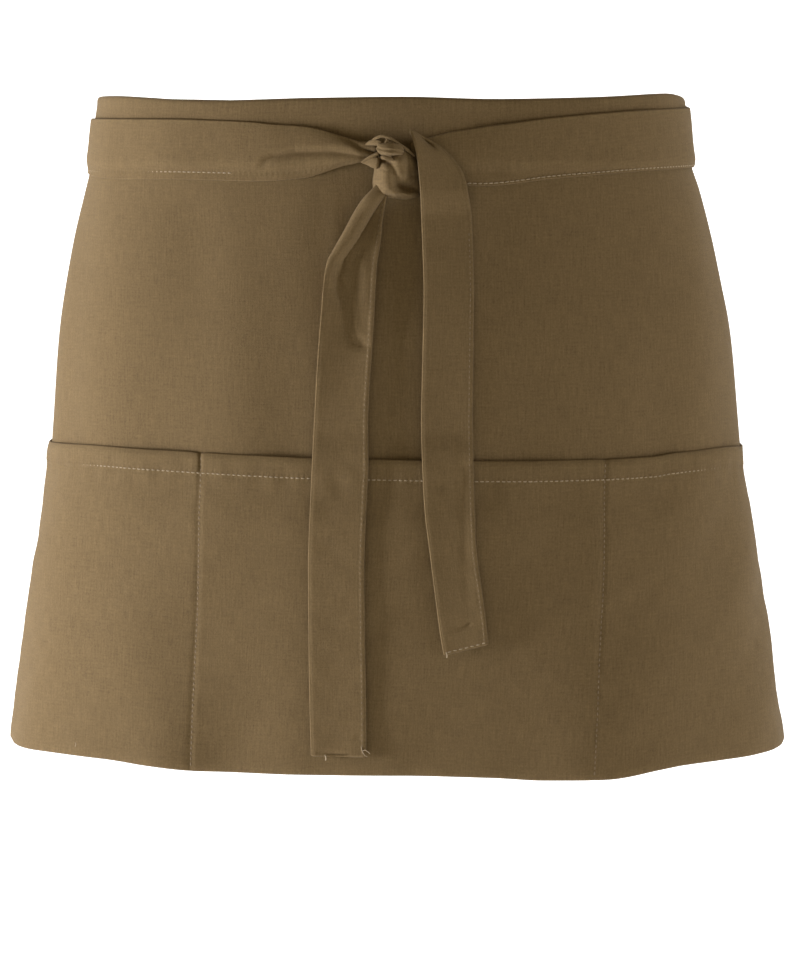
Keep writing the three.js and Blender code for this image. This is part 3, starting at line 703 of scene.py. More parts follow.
class Shader:
    """One material's node tree, with a Principled surface and short ways to add nodes."""

    def __init__(self, name: str) -> None:
        """Start a material with a bare Principled surface."""
        self.material = bpy.data.materials.new(name)
        self.material.use_nodes = True
        self.tree = self.material.node_tree
        self.tree.nodes.clear()
        self.surface = self.node("ShaderNodeBsdfPrincipled")
        output = self.node("ShaderNodeOutputMaterial")
        self.tree.links.new(self.surface.outputs[0], output.inputs["Surface"])

    def node(self, kind: str, settings: dict[str, Any] | None = None, **sockets: Any) -> bpy.types.Node:
        """Add a node of any kind.

        Args:
            kind: the node's type name.
            settings: its settings, such as an operation, set before its sockets.
            sockets: what each input gets, by its name with _ for spaces, or by its number as in0.

        Returns:
            The new node.
        """
        node = self.tree.nodes.new(kind)
        for key, setting in (settings or {}).items():
            setattr(node, key, setting)
        for key, given in sockets.items():
            numbered = key[:2] == "in" and key[2:].isdigit()
            slot = node.inputs[int(key[2:]) if numbered else key.replace("_", " ")]
            if isinstance(given, Value):
                self.tree.links.new(given.socket, slot)
            elif isinstance(given, bpy.types.NodeSocket):
                self.tree.links.new(given, slot)
            else:
                slot.default_value = given
        return node

    def value(self, socket: bpy.types.NodeSocket) -> Value:
        """Wrap a socket for maths."""
        return Value(self.tree, socket)

    def tint(self, colour: tuple[float, float, float], tone: Value) -> bpy.types.NodeSocket:
        """Scale a colour by a tone that varies."""
        return self.node("ShaderNodeVectorMath", {"operation": "SCALE"}, in0=colour, Scale=tone).outputs[0]

    def bump(self, height: Value, strength: float, distance: float) -> bpy.types.NodeSocket:
        """Turn a height that varies into a bumped normal."""
        node = self.node("ShaderNodeBump", None, Strength=strength, Distance=distance, Height=height)
        return node.outputs[0]

    def finish(self, varying: dict[str, bpy.types.NodeSocket], even: dict[str, Any]) -> bpy.types.Material:
        """Link what varies to the surface, set what is the same all over, and give the material."""
        for name, socket in varying.items():
            self.tree.links.new(socket, self.surface.inputs[name])
        for name, given in even.items():
            self.surface.inputs[name].default_value = given
        return self.material

    def noise(
        self, vector: bpy.types.NodeSocket, stretch: tuple[float, float, float], detail: float,
        roughness: float = 0.55,
    ) -> Value:
        """Add noise of about 0 to 1 on a stretched vector.

        Args:
            vector: where the noise is read.
            stretch: waves a metre along each axis.
            detail: the noise's octaves.
            roughness: how strong the finer octaves are.

        Returns:
            The noise's factor.
        """
        scaled = self.node("ShaderNodeVectorMath", {"operation": "MULTIPLY"}, in0=vector, in1=stretch)
        made = self.node(
            "ShaderNodeTexNoise", None,
            Vector=scaled.outputs[0], Scale=1.0, Detail=detail, Roughness=roughness,
        )
        return self.value(made.outputs[0])


class Line(Enum):
    """Which cloth place stays the same along a seam."""

    ACROSS = 0
    DOWN = 1


@dataclass(frozen=True)
class Seam:
    """A stitched line on the cloth: which place it keeps, where, and how wide and deep its pucker and painted
    shade are.
    """

    line: Line
    place: float
    width: float = 0.0016
    depth: float = 1.0


@dataclass(frozen=True)
class Grain:
    """One layer of the cloth's unevenness: waves a metre across and down, octaves, and its shares.

    tone is its share in the colour, height its share in the bump, and harshness how strong its finer
    octaves are.
    """

    waves: tuple[float, float, float]
    octaves: float
    tone: float
    height: float
    harshness: float = 0.55


WARP_SLUBS = Grain((1350, 95, 1), 3.0, tone=0.6, height=0.8)
WEFT_SLUBS = Grain((95, 1100, 1), 3.0, tone=0.34, height=0.6)
MOTTLING = Grain((45, 38, 1), 3.0, tone=0.12, height=0.0)
FIBRE = Grain((1050, 900, 1), 2.0, tone=0.75, height=0.5, harshness=0.7)


@dataclass(frozen=True)
class ClothFinish:
    """Matt plain-weave cloth: its thread count, slubs, faint mottling, and puckers along its seams, with
    painted shade in them.
    """

    name: str
    colour: tuple[float, float, float] = (0.182, 0.121, 0.052)
    thread: float = 0.00052
    seams: tuple[Seam, ...] = ()
    fade: float = 0.0
    layers: tuple[Grain, ...] = (WARP_SLUBS, WEFT_SLUBS, MOTTLING, FIBRE)
    stray: float = 260.0
    warp_stray: float = 5.0
    weft_stray: float = 4.0
    weave_tone: float = 0.035
    weave_height: float = 0.3
    # painted shade: how much the colour is darkened along the seams
    seam_shade: float = 0.05
    seam_height: float = 1.5

    def material(self) -> bpy.types.Material:
        """Build the material.

        The weave is the product of a wave across the cloth and one down it, both strayed by noise. The
        colour is the base colour times 1 plus the layers and the weave, less painted shade in a bell across
        each seam, and the bump is the weave and the layers, less the puckers, each a bell across a seam
        times a wave along it.
        """
        shader = Shader(self.name)
        place = shader.node("ShaderNodeUVMap", {"uv_map": "cloth"}).outputs[0]
        split = shader.node("ShaderNodeSeparateXYZ", None, Vector=place)
        across, down = shader.value(split.outputs[0]), shader.value(split.outputs[1])
        turn = math.tau / self.thread
        stray = shader.noise(place, (self.stray,) * 3, 2.0)
        warp = (across * turn + stray * self.warp_stray).wave()
        weft = (down * turn + stray * self.weft_stray).wave()
        weave = warp * weft
        tone = weave * self.weave_tone + (1.0 + self.fade)
        height = weave * self.weave_height
        for layer in self.layers:
            noise = shader.noise(place, layer.waves, layer.octaves, layer.harshness)
            tone = tone + (noise - 0.5) * layer.tone
            height = height + noise * layer.height
        for seam in self.seams:
            on_line, along = (across, down) if seam.line is Line.ACROSS else (down, across)
            near = on_line.bell(seam.place, seam.width)
            ripple = (along * (math.tau / Cut.stitch)).wave() * 0.4 + 0.6
            height = height - near * ripple * (self.seam_height * seam.depth)
            # painted shade: the colour darkens in the pucker along each seam
            tone = tone - near * (self.seam_shade * seam.depth)
        return shader.finish(
            {"Base Color": shader.tint(self.colour, tone), "Normal": shader.bump(height, 0.55, 0.00016)},
            {
                "Roughness": 0.9, "Specular IOR Level": 0.18,
                "Sheen Weight": 0.12, "Sheen Roughness": 0.6, "Sheen Tint": (0.62, 0.5, 0.36, 1),
            },
        )


@dataclass(frozen=True)
class ThreadFinish:
    """Spun polyester sewing thread, a little lighter than the cloth, with its twist as fine bands."""

    name: str
    colour: tuple[float, float, float] = (0.38, 0.29, 0.175)
    twist: float = 5200.0
    lots: float = 160.0

    def material(self) -> bpy.types.Material:
        """Build the material: the colour varied by fine and coarse noise, and a bump of the fine noise."""
        shader = Shader(self.name)
        place = shader.node("ShaderNodeTexCoord").outputs["Object"]
        twist = shader.noise(place, (self.twist,) * 3, 2.0)
        lots = shader.noise(place, (self.lots,) * 3, 2.0)
        tone = (twist - 0.5) * 0.5 + (lots - 0.5) * 0.5 + 1.0
        return shader.finish(
            {"Base Color": shader.tint(self.colour, tone), "Normal": shader.bump(twist, 0.4, 0.00006)},
            {"Roughness": 0.62, "Specular IOR Level": 0.3},
        )


@dataclass(frozen=True)
class PaperFinish:
    """Plain white studio paper for the floor and the backdrop, which glows where it is behind the apron."""

    name: str
    colour: tuple[float, float, float] = (0.9, 0.9, 0.9)
    white: tuple[float, float, float] = (1.0, 1.0, 1.0)
    floor_glow: float = 0.10
    glow: float = 0.92
    glow_starts: float = 0.6
    glow_full: float = 1.8
    grain: float = 30.0

    def material(self) -> bpy.types.Material:
        """Build the material: near white, matt, faintly grained, with a glow that grows towards the back."""
        shader = Shader(self.name)
        place = shader.node("ShaderNodeTexCoord").outputs["Object"]
        tone = (shader.noise(place, (self.grain,) * 3, 2.0) - 0.5) * 0.01 + 1.0
        back = shader.value(shader.node("ShaderNodeSeparateXYZ", None, Vector=place).outputs[1])
        glow = shader.node(
            "ShaderNodeMapRange", None,
            in0=back, in1=self.glow_starts, in2=self.glow_full, in3=self.floor_glow, in4=self.glow,
        )
        return shader.finish(
            {
                "Base Color": shader.tint(self.colour, tone),
                "Emission Color": shader.tint(self.white, shader.value(glow.outputs[0])),
            },
            {"Roughness": 0.95, "Specular IOR Level": 0.1, "Emission Strength": 1.0},
        )


def dress(piece: bpy.types.Object, material: bpy.types.Material, slot: str, *nodes: str) -> None:
    """Give a piece its material and body, and hide the solids that it stands for.

    Args:
        piece: the finished piece.
        material: its material.
        slot: not used.
        nodes: the solids that it replaces.
    """
    piece.data.materials.clear()
    piece.data.materials.append(material)
    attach(piece, "root")
    if nodes:
        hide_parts(*nodes)
    LOG.info("%s: %d points, %d faces", piece.name, len(piece.data.vertices), len(piece.data.polygons))


# The apron's pieces


@dataclass
class Maker:
    """What every piece needs: the body, its arcs, the cut, the thread and the thread's finish."""

    body: BodyForm = field(default_factory=BodyForm)
    cut: Cut = field(default_factory=Cut)
    thread: Thread = field(default_factory=Thread)
    ride: RideUp = field(default_factory=RideUp)
    sink: float = 0.0003
    sewn_step: float = 0.0008
    end_gap: float = 0.001

    def __post_init__(self) -> None:
        """Work out the arcs, the thread's material and a darker copy of it, which is painted shade, once."""
        self.arcs = ArcMap(self.body)
        self.sewing = ThreadFinish("sewing_thread").material()
        # painted shade: a darker copy of the sewing thread, for stitches in the pocket seams and on the
        # hanging ends
        self.shaded_sewing = ThreadFinish("shaded_sewing_thread", (0.25, 0.18, 0.1)).material()

    def cloth_point(self, arc: Array, z: Array, offset: Array, curl: Array | float = 0.0) -> Array:
        """Give a point of cloth from its arc, its level on the cut, its offset and how far it curls up.

        Its angle is that of its arc at its level, so its grain stays upright, and it rides up from there.
        """
        level = np.minimum(z, -self.cut.band_height / 2)
        height = z + self.ride.at(arc, z, self.cut, self.body) + curl
        return self.body.at_angle(self.arcs.angle(arc, level), height, offset)

    def sewn_line(self, first: float, last: float) -> Array:
        """Give close places along a line that is sewn."""
        return np.arange(first, last, self.sewn_step)

    def seam_on(
        self, surface: Surface, along: Array, across: Array, lift: float,
        sides: tuple[float, float] = (0.135, 0.165),
    ) -> tuple[Array, Array]:
        """Give the points and normals of a stitched line, with the normals turned away from the body.

        Args:
            surface: gives points for two arrays of cloth places.
            along: first cloth places.
            across: second cloth places.
            lift: height above the surface, in metres.
            sides: between these distances to each side the line sinks into the cloth, by up to sink.

        Returns:
            The line's points and unit normals.
        """
        points, normals = frame_on(surface, along, across, 0.0)
        outwards = points * np.array([1.0, 1.0, 0.0])
        turned = np.where(np.sum(normals * outwards, axis=-1, keepdims=True) < 0, -normals, normals)
        sunk = self.sink * ease(*sides, np.abs(points[:, :1]))
        return points + turned * (lift - sunk), turned


@dataclass
class Skirt:
    """The skirt: one sheet from inside the waistband to the hem, doubled and stitched at its sides."""

    maker: Maker
    thickness: float = 0.0009
    doubling: float = 0.9
    column: float = 0.0030
    row: float = 0.0030
    short_of_foot: float = 0.0019
    still: tuple[float, float] = (0.03, 0.07)
    waves: tuple[Wave, ...] = (Wave(3, 0.07, 0.00055, 0.35), Wave(4, 0.025, 0.00015, 0.2))
    crease_arc: float = -0.0285
    crease_spread: float = 0.0035
    crease_down: float = 0.07
    crease_reach: float = 0.03
    crease_depth: float = 0.0005
    hem_stitch: float = 0.0012
    stitched_from: float = 0.036
    stitched_to: float = 0.004

    def surface(self, arc: Array, down: Array) -> Array:
        """Give the sheet's middle: the body, moved out by the layers under it, the folds and faint waves."""
        arc, down = np.broadcast_arrays(np.asarray(arc, float), np.asarray(down, float))
        crease = self.crease_depth * bump(arc, self.crease_arc, self.crease_spread)
        crease = crease * bump(down, self.crease_down, self.crease_reach)
        uneven = (crease + ripples(self.waves, arc, down)) * ease(*self.still, down)
        offset = self.maker.cut.skirt_offset + drape(arc, down) + uneven
        return self.maker.cloth_point(arc, self.maker.body.top - down, offset)

    def build(self) -> bpy.types.Object:
        """Build the sheet, thicker where its side hems are doubled."""
        cut = self.maker.cut
        half = cut.width / 2
        step = half - cut.side_hem
        columns = fine_lines(-half, half, self.column, (-step, step), reach=0.0016)
        last = self.maker.body.length - self.short_of_foot
        rows = fine_lines(cut.band_height - cut.seam_in_band, last, self.row)
        arc, down = np.meshgrid(columns, rows)
        middle = self.surface(arc, down)
        below_band = ease(cut.band_height + 0.0005, cut.band_height + 0.003, down)
        doubled = self.doubling * ease(step - 0.0008, step + 0.0004, np.abs(arc)) * below_band
        middle = middle - grid_outwards(middle) * (self.thickness * doubled / 2)[..., None]
        thickness = self.thickness * (1 + doubled)
        return shell("skirt_cloth", middle, thickness, np.stack([arc, down], -1))

    def make(self) -> bpy.types.Object:
        cut = self.maker.cut
        edge = cut.width / 2 - cut.side_hem + self.hem_stitch
        seams = tuple(Seam(Line.ACROSS, side * edge, 0.001, 0.5) for side in (-1, 1))
        piece = self.build()
        dress(piece, ClothFinish("skirt_weave", seams=seams).material(), "cloth", "skirt_panel")
        last = self.maker.body.length - cut.pocket_height - self.stitched_to
        down = np.arange(self.stitched_from, last, 0.001)
        lines = [
            self.maker.seam_on(self.surface, np.full_like(down, side * edge), down, self.thickness / 2)
            for side in (-1, 1)
        ]
        stitches = self.maker.thread.sew("skirt_side_stitches", lines, 2)
        dress(stitches, self.maker.sewing, "cloth")
        cut.width + 2 * cut.side_hem
        return piece


def grid_outwards(middle: Array) -> Array:
    """Give a grid's unit normals, turned to point away from the upright axis."""
    normal = grid_normals(middle)
    outwards = np.sum(normal * middle * np.array([1.0, 1.0, 0.0]), axis=-1, keepdims=True)
    return np.where(outwards < 0, -normal, normal)


@dataclass
class Pockets:
    """The pocket panel: a doubled, stitched top edge, two seams to the skirt, turned under at the foot."""

    maker: Maker
    thickness: float = 0.0009
    column: float = 0.0029
    row: float = 0.0029
    front: tuple[float, float] = (0.13, 0.17)
    gape: float = 0.0004
    hem_step: tuple[float, float] = (-0.0009, 0.0007)
    hem_swell: float = 0.0003
    below_hem_swell: float = 0.0002
    belly: float = 0.0014
    belly_runs: tuple[float, float] = (0.008, 0.032)
    side_swell: float = 0.0005
    side_swell_in: tuple[float, float] = (0.007, 0.010)
    side_stitch: float = 0.0025
    waves: tuple[Wave, ...] = (Wave(11, 0.055, 0.00045), Wave(12, 0.02, 0.00012))
    pucker: float = 0.00022
    pucker_length: float = 0.0127
    pucker_spread: float = 0.006
    groove: float = 0.00035
    groove_spread: float = 0.0016
    tip: float = 0.00014
    tip_turn: float = 0.0011
    tip_spread: float = 0.003
    notch: float = 0.0007
    notch_aside: float = 0.0002
    notch_spread: float = 0.0006
    notch_runs: tuple[float, float] = (0.0075, 0.0092)
    edge_dip: float = 0.0004
    turn_radius: float = 0.0009
    slide_runs: tuple[float, ...] = (0, 0.05, 0.1, 0.15)
    slides: tuple[tuple[float, ...], ...] = (
        (0.0114, 0.0105, 0.0079, 0.0057),
        (-0.0040, -0.0062, -0.0097, -0.0124),
    )

    @property
    def run_flat(self) -> float:
        """Give the panel's run from its top edge to where it starts to turn under."""
        return self.maker.cut.pocket_height - self.turn_radius - self.maker.cut.cloth

    @property
    def dividers(self) -> tuple[float, ...]:
        """Give the arcs of the seams between the pockets."""
        cut = self.maker.cut
        return tuple(-cut.width / 2 + cut.pocket_width * n for n in range(1, cut.pocket_count))

    def slid(self, place: Array, run: Array) -> Array:
        """Give the arc of a cloth place: each seam has slid round the body, and the rest less."""
        arc = place
        for seam, slides in zip(self.dividers, self.slides):
            share = np.abs(place - seam) / self.maker.cut.pocket_width
            arc = arc + smooth_curve(self.slide_runs, slides, run) * (1 - ease(0, 1, share))
        return arc

    def in_hem(self, run: Array) -> Array:
        """Give 1 where the panel is doubled in its top hem and 0 below it."""
        low, high = (self.maker.cut.pocket_hem + step for step in self.hem_step)
        return 1 - ease(low, high, run)

    def groove_at(self, place: Array, run: Array) -> Array:
        """Give how deep the seams press into the panel.

        Each seam is a bell, less a tanh step under a wider bell, which tips the cloth beside it. The
        first seam is also a narrow notch through the hem.
        """
        groove = self.notch * bump(place, self.dividers[0] - self.notch_aside, self.notch_spread)
        groove = groove * (1 - ease(*self.notch_runs, run))
        for seam in self.dividers:
            tipped = np.tanh((place - seam) / self.tip_turn) * bump(place, seam, self.tip_spread)
            groove = groove + self.groove * bump(place, seam, self.groove_spread) - self.tip * tipped
        return groove

    def face_offset(self, place: Array, arc: Array, down: Array, run: Array) -> Array:
        """Give how far the panel's face stands off the body.

        It is the layers under it, the swell of the hem and of the sides, a belly below the hem, the
        folds, a gape of sin^2 across each pocket that grows towards the top, faint waves, puckers along
        the hem's stitches, and a groove at each seam.

        Args:
            place: distance across the cloth from its middle.
            arc: where that place lies round the body.
            down: distance below the top of the waistband.
            run: distance down the panel.

        Returns:
            The face's distance off the body.
        """
        cut = self.maker.cut
        along = np.mod((place + cut.width / 2) / cut.pocket_width, 1.0)
        frontal = 1 - ease(*self.front, np.abs(arc))
        gape = self.gape * np.sin(math.pi * along) ** 2 * ease(0, 1, 1 - run / self.run_flat) * frontal
        below_hem = self.below_hem_swell * (1 - ease(cut.pocket_hem, 2 * cut.pocket_hem, run)) * frontal
        swell = self.hem_swell * self.in_hem(run) + below_hem + self.belly * ease(*self.belly_runs, run)
        edge = np.maximum(0, cut.width / 2 - np.abs(place))
        side_swell = self.side_swell * (1 - ease(*self.side_swell_in, edge))
        pucker = self.pucker * np.sin(arc * math.tau / self.pucker_length)
        pucker = pucker * bump(run, cut.pocket_hem, self.pucker_spread)
        uneven = (ripples(self.waves, arc, run) + pucker) * ease(0, 0.004, run)
        layers = cut.skirt_offset + 1.5 * cut.cloth + cut.clearance
        return layers + swell + side_swell + gape + drape(arc, down) + uneven - self.groove_at(place, run)

    def surface(self, place: Array, run: Array) -> Array:
        """Give the panel's face: down to the foot, round a half circle under the skirt, and up behind it."""
        place, run = np.broadcast_arrays(np.asarray(place, float), np.asarray(run, float))
        arc = self.slid(place, run)
        cut, body = self.maker.cut, self.maker.body
        top = body.top - body.length + cut.pocket_height
        radius = self.turn_radius + cut.cloth
        foot = top - self.run_flat
        level = np.minimum(run, self.run_flat)
        angle = np.clip((run - self.run_flat) / radius, 0, math.pi)
        rise = np.maximum(0, run - self.run_flat - math.pi * radius)
        z_plain = top - level
        down = body.top - np.maximum(z_plain, foot)
        outer = self.face_offset(place, arc, down, level)
        offset = outer - radius * (1 - np.cos(angle))
        dip = self.edge_dip * sum(bump(place, seam, self.tip_spread) for seam in self.dividers)
        dip = dip * (1 - ease(0, 0.012, run))
        return self.maker.cloth_point(arc, z_plain, offset, rise - radius * np.sin(angle) - dip)

    def build(self) -> bpy.types.Object:
        """Build the panel, its middle half its thickness behind its face, thicker in its hems."""
        cut = self.maker.cut
        half = cut.width / 2
        columns = fine_lines(-half, half, self.column, self.dividers, reach=0.0045, fine=0.0005)
        turn = math.pi * (self.turn_radius + cut.cloth)
        plain = fine_lines(0, self.run_flat, self.row, (cut.pocket_hem,), reach=0.0024, fine=0.0006)
        turning = self.run_flat + np.linspace(0, 1, 9)[1:] * turn
        turned = self.run_flat + turn + np.linspace(0, 1, 5)[1:] * cut.hem_turn
        arc, run = np.meshgrid(columns, np.concatenate([plain, turning, turned]))
        face = self.surface(arc, run)
        thickness = self.thickness + self.hem_swell * self.in_hem(run)
        middle = face + grid_normals(face) * thickness[..., None] / 2
        LOG.info("pocket panel runs %.1f mm", (self.run_flat + turn + cut.hem_turn) / MM)
        return shell("pocket_cloth", middle, thickness, np.stack([arc, run], -1))

    def make(self) -> bpy.types.Object:
        cut = self.maker.cut
        half = cut.width / 2
        hem_line = cut.pocket_hem - 0.0006
        seams = (
            Seam(Line.DOWN, hem_line, 0.0016, 1.0),
            *(Seam(Line.ACROSS, place, 0.0014, 0.9) for place in self.dividers),
            *(Seam(Line.ACROSS, side * (half - self.side_stitch), 0.001, 0.5) for side in (-1, 1)),
        )
        piece = self.build()
        dress(piece, ClothFinish("pocket_weave", seams=seams).material(), "cloth", "pocket_panel")
        arc = self.maker.sewn_line(-half + self.maker.end_gap, half - self.maker.end_gap)
        run = self.maker.sewn_line(self.maker.end_gap, self.run_flat)
        lines = [self.maker.seam_on(self.surface, arc, np.full_like(arc, hem_line), -0.00005)]
        stitches = self.maker.thread.sew("pocket_stitches", lines, 3)
        dress(stitches, self.maker.sewing, "cloth")
        lines = [
            self.maker.seam_on(self.surface, np.full_like(run, place), run, -0.00008)
            for place in (*self.dividers, -half + self.side_stitch, half - self.side_stitch)
        ]
        seams = self.maker.thread.sew("pocket_seam_stitches", lines, 5)
        # painted shade: these seam stitches get the darker copy of the thread
        dress(seams, self.maker.shaded_sewing, "cloth")
        return piece


@dataclass
class Waistband:
    """The waistband: a strip folded over the top of the skirt, a little uneven along its top edge."""

    maker: Maker
    thickness: float = 0.0009
    column: float = 0.0032
    wave: float = 0.0018
    wave_shares: tuple[float, ...] = (
        -0.5, -0.3, -0.24, -0.14, -0.06, 0.01, 0.08, 0.16, 0.24, 0.28, 0.32, 0.5
    )
    wave_rises: tuple[float, ...] = (-1, 0.1, 0.3, -0.9, -0.2, 0.1, -0.5, 0, 1, 0.2, -0.6, -1)
    waves: tuple[Wave, ...] = (Wave(21, 0.05, 0.0004),)
    stitch_line: float = 0.0022

    @property
    def straight(self) -> float:
        """Give the height of each leaf, from the band's foot to where its top turns over."""
        return self.maker.cut.band_height - self.maker.cut.band_thickness / 2

    def surface(self, arc: Array, run: Array) -> Array:
        """Give the strip's middle: up its outer leaf, round in a half circle and down its inner leaf."""
        arc, run = np.broadcast_arrays(np.asarray(arc, float), np.asarray(run, float))
        cut, body = self.maker.cut, self.maker.body
        inner, outer = self.thickness / 2, cut.band_thickness - self.thickness / 2
        radius = (outer - inner) / 2
        straight = self.straight
        turn = math.pi * radius
        up = np.minimum(run, straight)
        angle = np.clip((run - straight) / radius, 0, math.pi)
        fall = np.maximum(0, run - straight - turn)
        height = up + radius * np.sin(angle) - fall
        offset = outer - radius * (1 - np.cos(angle))
        ripple = ripples(self.waves, arc, run) * ease(0, 0.008, height) * (1 - ease(0.024, 0.03, height))
        rise = self.wave * smooth_curve(self.wave_shares, self.wave_rises, arc / cut.width)
        z = body.top - cut.band_height + height + rise * ease(cut.seam_in_band, cut.band_height, height)
        angle_round = self.maker.arcs.angle(arc, np.full(arc.shape, body.top - cut.band_height))
        return body.at_angle(angle_round, z, offset + ripple * (run < straight))

    def build(self) -> bpy.types.Object:
        """Build the strip."""
        cut = self.maker.cut
        straight = self.straight
        turn = math.pi * (cut.band_thickness - self.thickness) / 2
        rows = np.concatenate([
            np.linspace(0, straight, 13), straight + np.linspace(0, turn, 9)[1:],
            straight + turn + np.linspace(0, straight, 13)[1:],
        ])
        columns = fine_lines(-cut.width / 2, cut.width / 2, self.column)
        arc, run = np.meshgrid(columns, rows)
        return shell("waistband_cloth", self.surface(arc, run), self.thickness, np.stack([arc, run], -1))

    def make(self) -> bpy.types.Object:
        cut = self.maker.cut
        line = self.stitch_line
        piece = self.build()
        finish = ClothFinish("band_weave", seams=(Seam(Line.DOWN, line, 0.0014, 0.7),))
        dress(piece, finish.material(), "band", "waistband")
        half = cut.width / 2
        arc = self.maker.sewn_line(-half + self.maker.end_gap, half - self.maker.end_gap)
        seam = self.maker.seam_on(self.surface, arc, np.full_like(arc, line), self.thickness / 2 - 0.00005)
        stitches = self.maker.thread.sew("band_stitches", [seam], 4)
        dress(stitches, self.maker.sewing, "band")
        return piece


@dataclass(frozen=True)
class TieRow:
    """One section of a tie.

    place is 0 at the knot, 1 at the side of the waist, 2 at the band's near end and 3 at the far end
    where the tie is sewn on; middle and width are shares of the tie's width; level is a share of the
    band's thickness off the body; crown is how far the middle swells, in metres.
    """

    place: float
    middle: float
    width: float
    level: float
    crown: float = 0.0


LEFT_TIE: tuple[TieRow, ...] = (
    TieRow(0, -0.41, 0.32, 1.45, 0.0030),
    TieRow(0.045, -0.40, 0.47, 1.25, 0.0026),
    TieRow(0.145, -0.415, 0.83, 1.08, 0.0016),
    TieRow(0.23, -0.42, 0.92, 1.02, 0.0009),
    TieRow(0.31, -0.4, 0.97, 1, 0.0004),
    TieRow(0.53, -0.37, 0.99, 1),
    TieRow(0.72, -0.375, 1, 1),
    TieRow(1, -0.34, 0.92, 1),
    TieRow(1.6, -0.75, 1, 1),
    TieRow(2, -1.16, 1, 1),
    TieRow(2.05, -1.15, 1, 0.92),
    TieRow(2.13, -1.08, 1, 0.25),
    TieRow(2.22, -0.9, 1, 0.12),
    TieRow(2.45, -0.42, 1, 0.1),
    TieRow(2.7, -0.16, 1, 0.15),
    TieRow(3, -0.08, 1, 0.18),
)
RIGHT_TIE: tuple[TieRow, ...] = (
    TieRow(0, -0.46, 0.4, 1.2, 0.0026),
    TieRow(0.03, -0.48, 0.55, 1.1, 0.0020),
    TieRow(0.117, -0.51, 0.88, 1, 0.0010),
    TieRow(0.225, -0.46, 0.98, 1, 0.0005),
    TieRow(0.35, -0.36, 0.99, 1, 0.0002),
    TieRow(0.48, -0.29, 1, 1),
    TieRow(0.67, -0.22, 1, 1),
    TieRow(1, -0.18, 1, 1),
    TieRow(1.6, -0.11, 1, 1),
    TieRow(2, -0.12, 1, 1),
    TieRow(2.3, -0.13, 1, 0.9),
    TieRow(2.6, -0.13, 1, 0.85),
    TieRow(2.86, -0.1, 1, 0.85),
    TieRow(2.95, -0.1, 1, 0.4),
    TieRow(3, -0.1, 1, 0.18),
)


@dataclass(frozen=True)
class Furrow:
    """A furrow in cloth, or a ridge where its depths are below 0, in millimetres.

    line is its places as (first, second, depth), and spread is how wide it is to each side.
    """

    line: tuple[tuple[float, float, float], ...]
    spread: float

    def dip(self, first: Array, second: Array) -> Array:
        """Give its depth at places in metres: the line's nearest depth times a bell of the distance."""
        nearest = np.full(np.broadcast(first, second).shape, np.inf)
        depth = np.zeros(nearest.shape)
        for (x0, z0, d0), (x1, z1, d1) in zip(self.line[:-1], self.line[1:]):
            x, z = first / MM - x0, second / MM - z0
            run_x, run_z = x1 - x0, z1 - z0
            t = np.clip((x * run_x + z * run_z) / (run_x**2 + run_z**2), 0, 1)
            gap = np.hypot(x - t * run_x, z - t * run_z)
            depth = np.where(gap < nearest, d0 + (d1 - d0) * t, depth)
            nearest = np.minimum(gap, nearest)
        return MM * depth * np.exp(-((nearest / self.spread) ** 2))


LEFT_TIE_FURROWS: tuple[Furrow, ...] = (
    Furrow(((-64.5, -19.0, 0.2), (-60.5, -16.0, 1.6), (-57, -14.2, 2.3), (-46.4, -12.1, 2.2),
            (-29.3, -11.6, 1.6), (-18, -12.9, 1.4), (-9, -14.2, 1.8)), 1.8),
    Furrow(((-26, -4.6, 0), (-19.6, -6.9, 0.7), (-14.4, -10.2, 1.9), (-7, -11.9, 2.6)), 1.3),
)
RIGHT_TIE_FURROWS: tuple[Furrow, ...] = (
    Furrow(((50, -16.0, 0.5), (52, -18.0, 0.8)), 5.0),
)


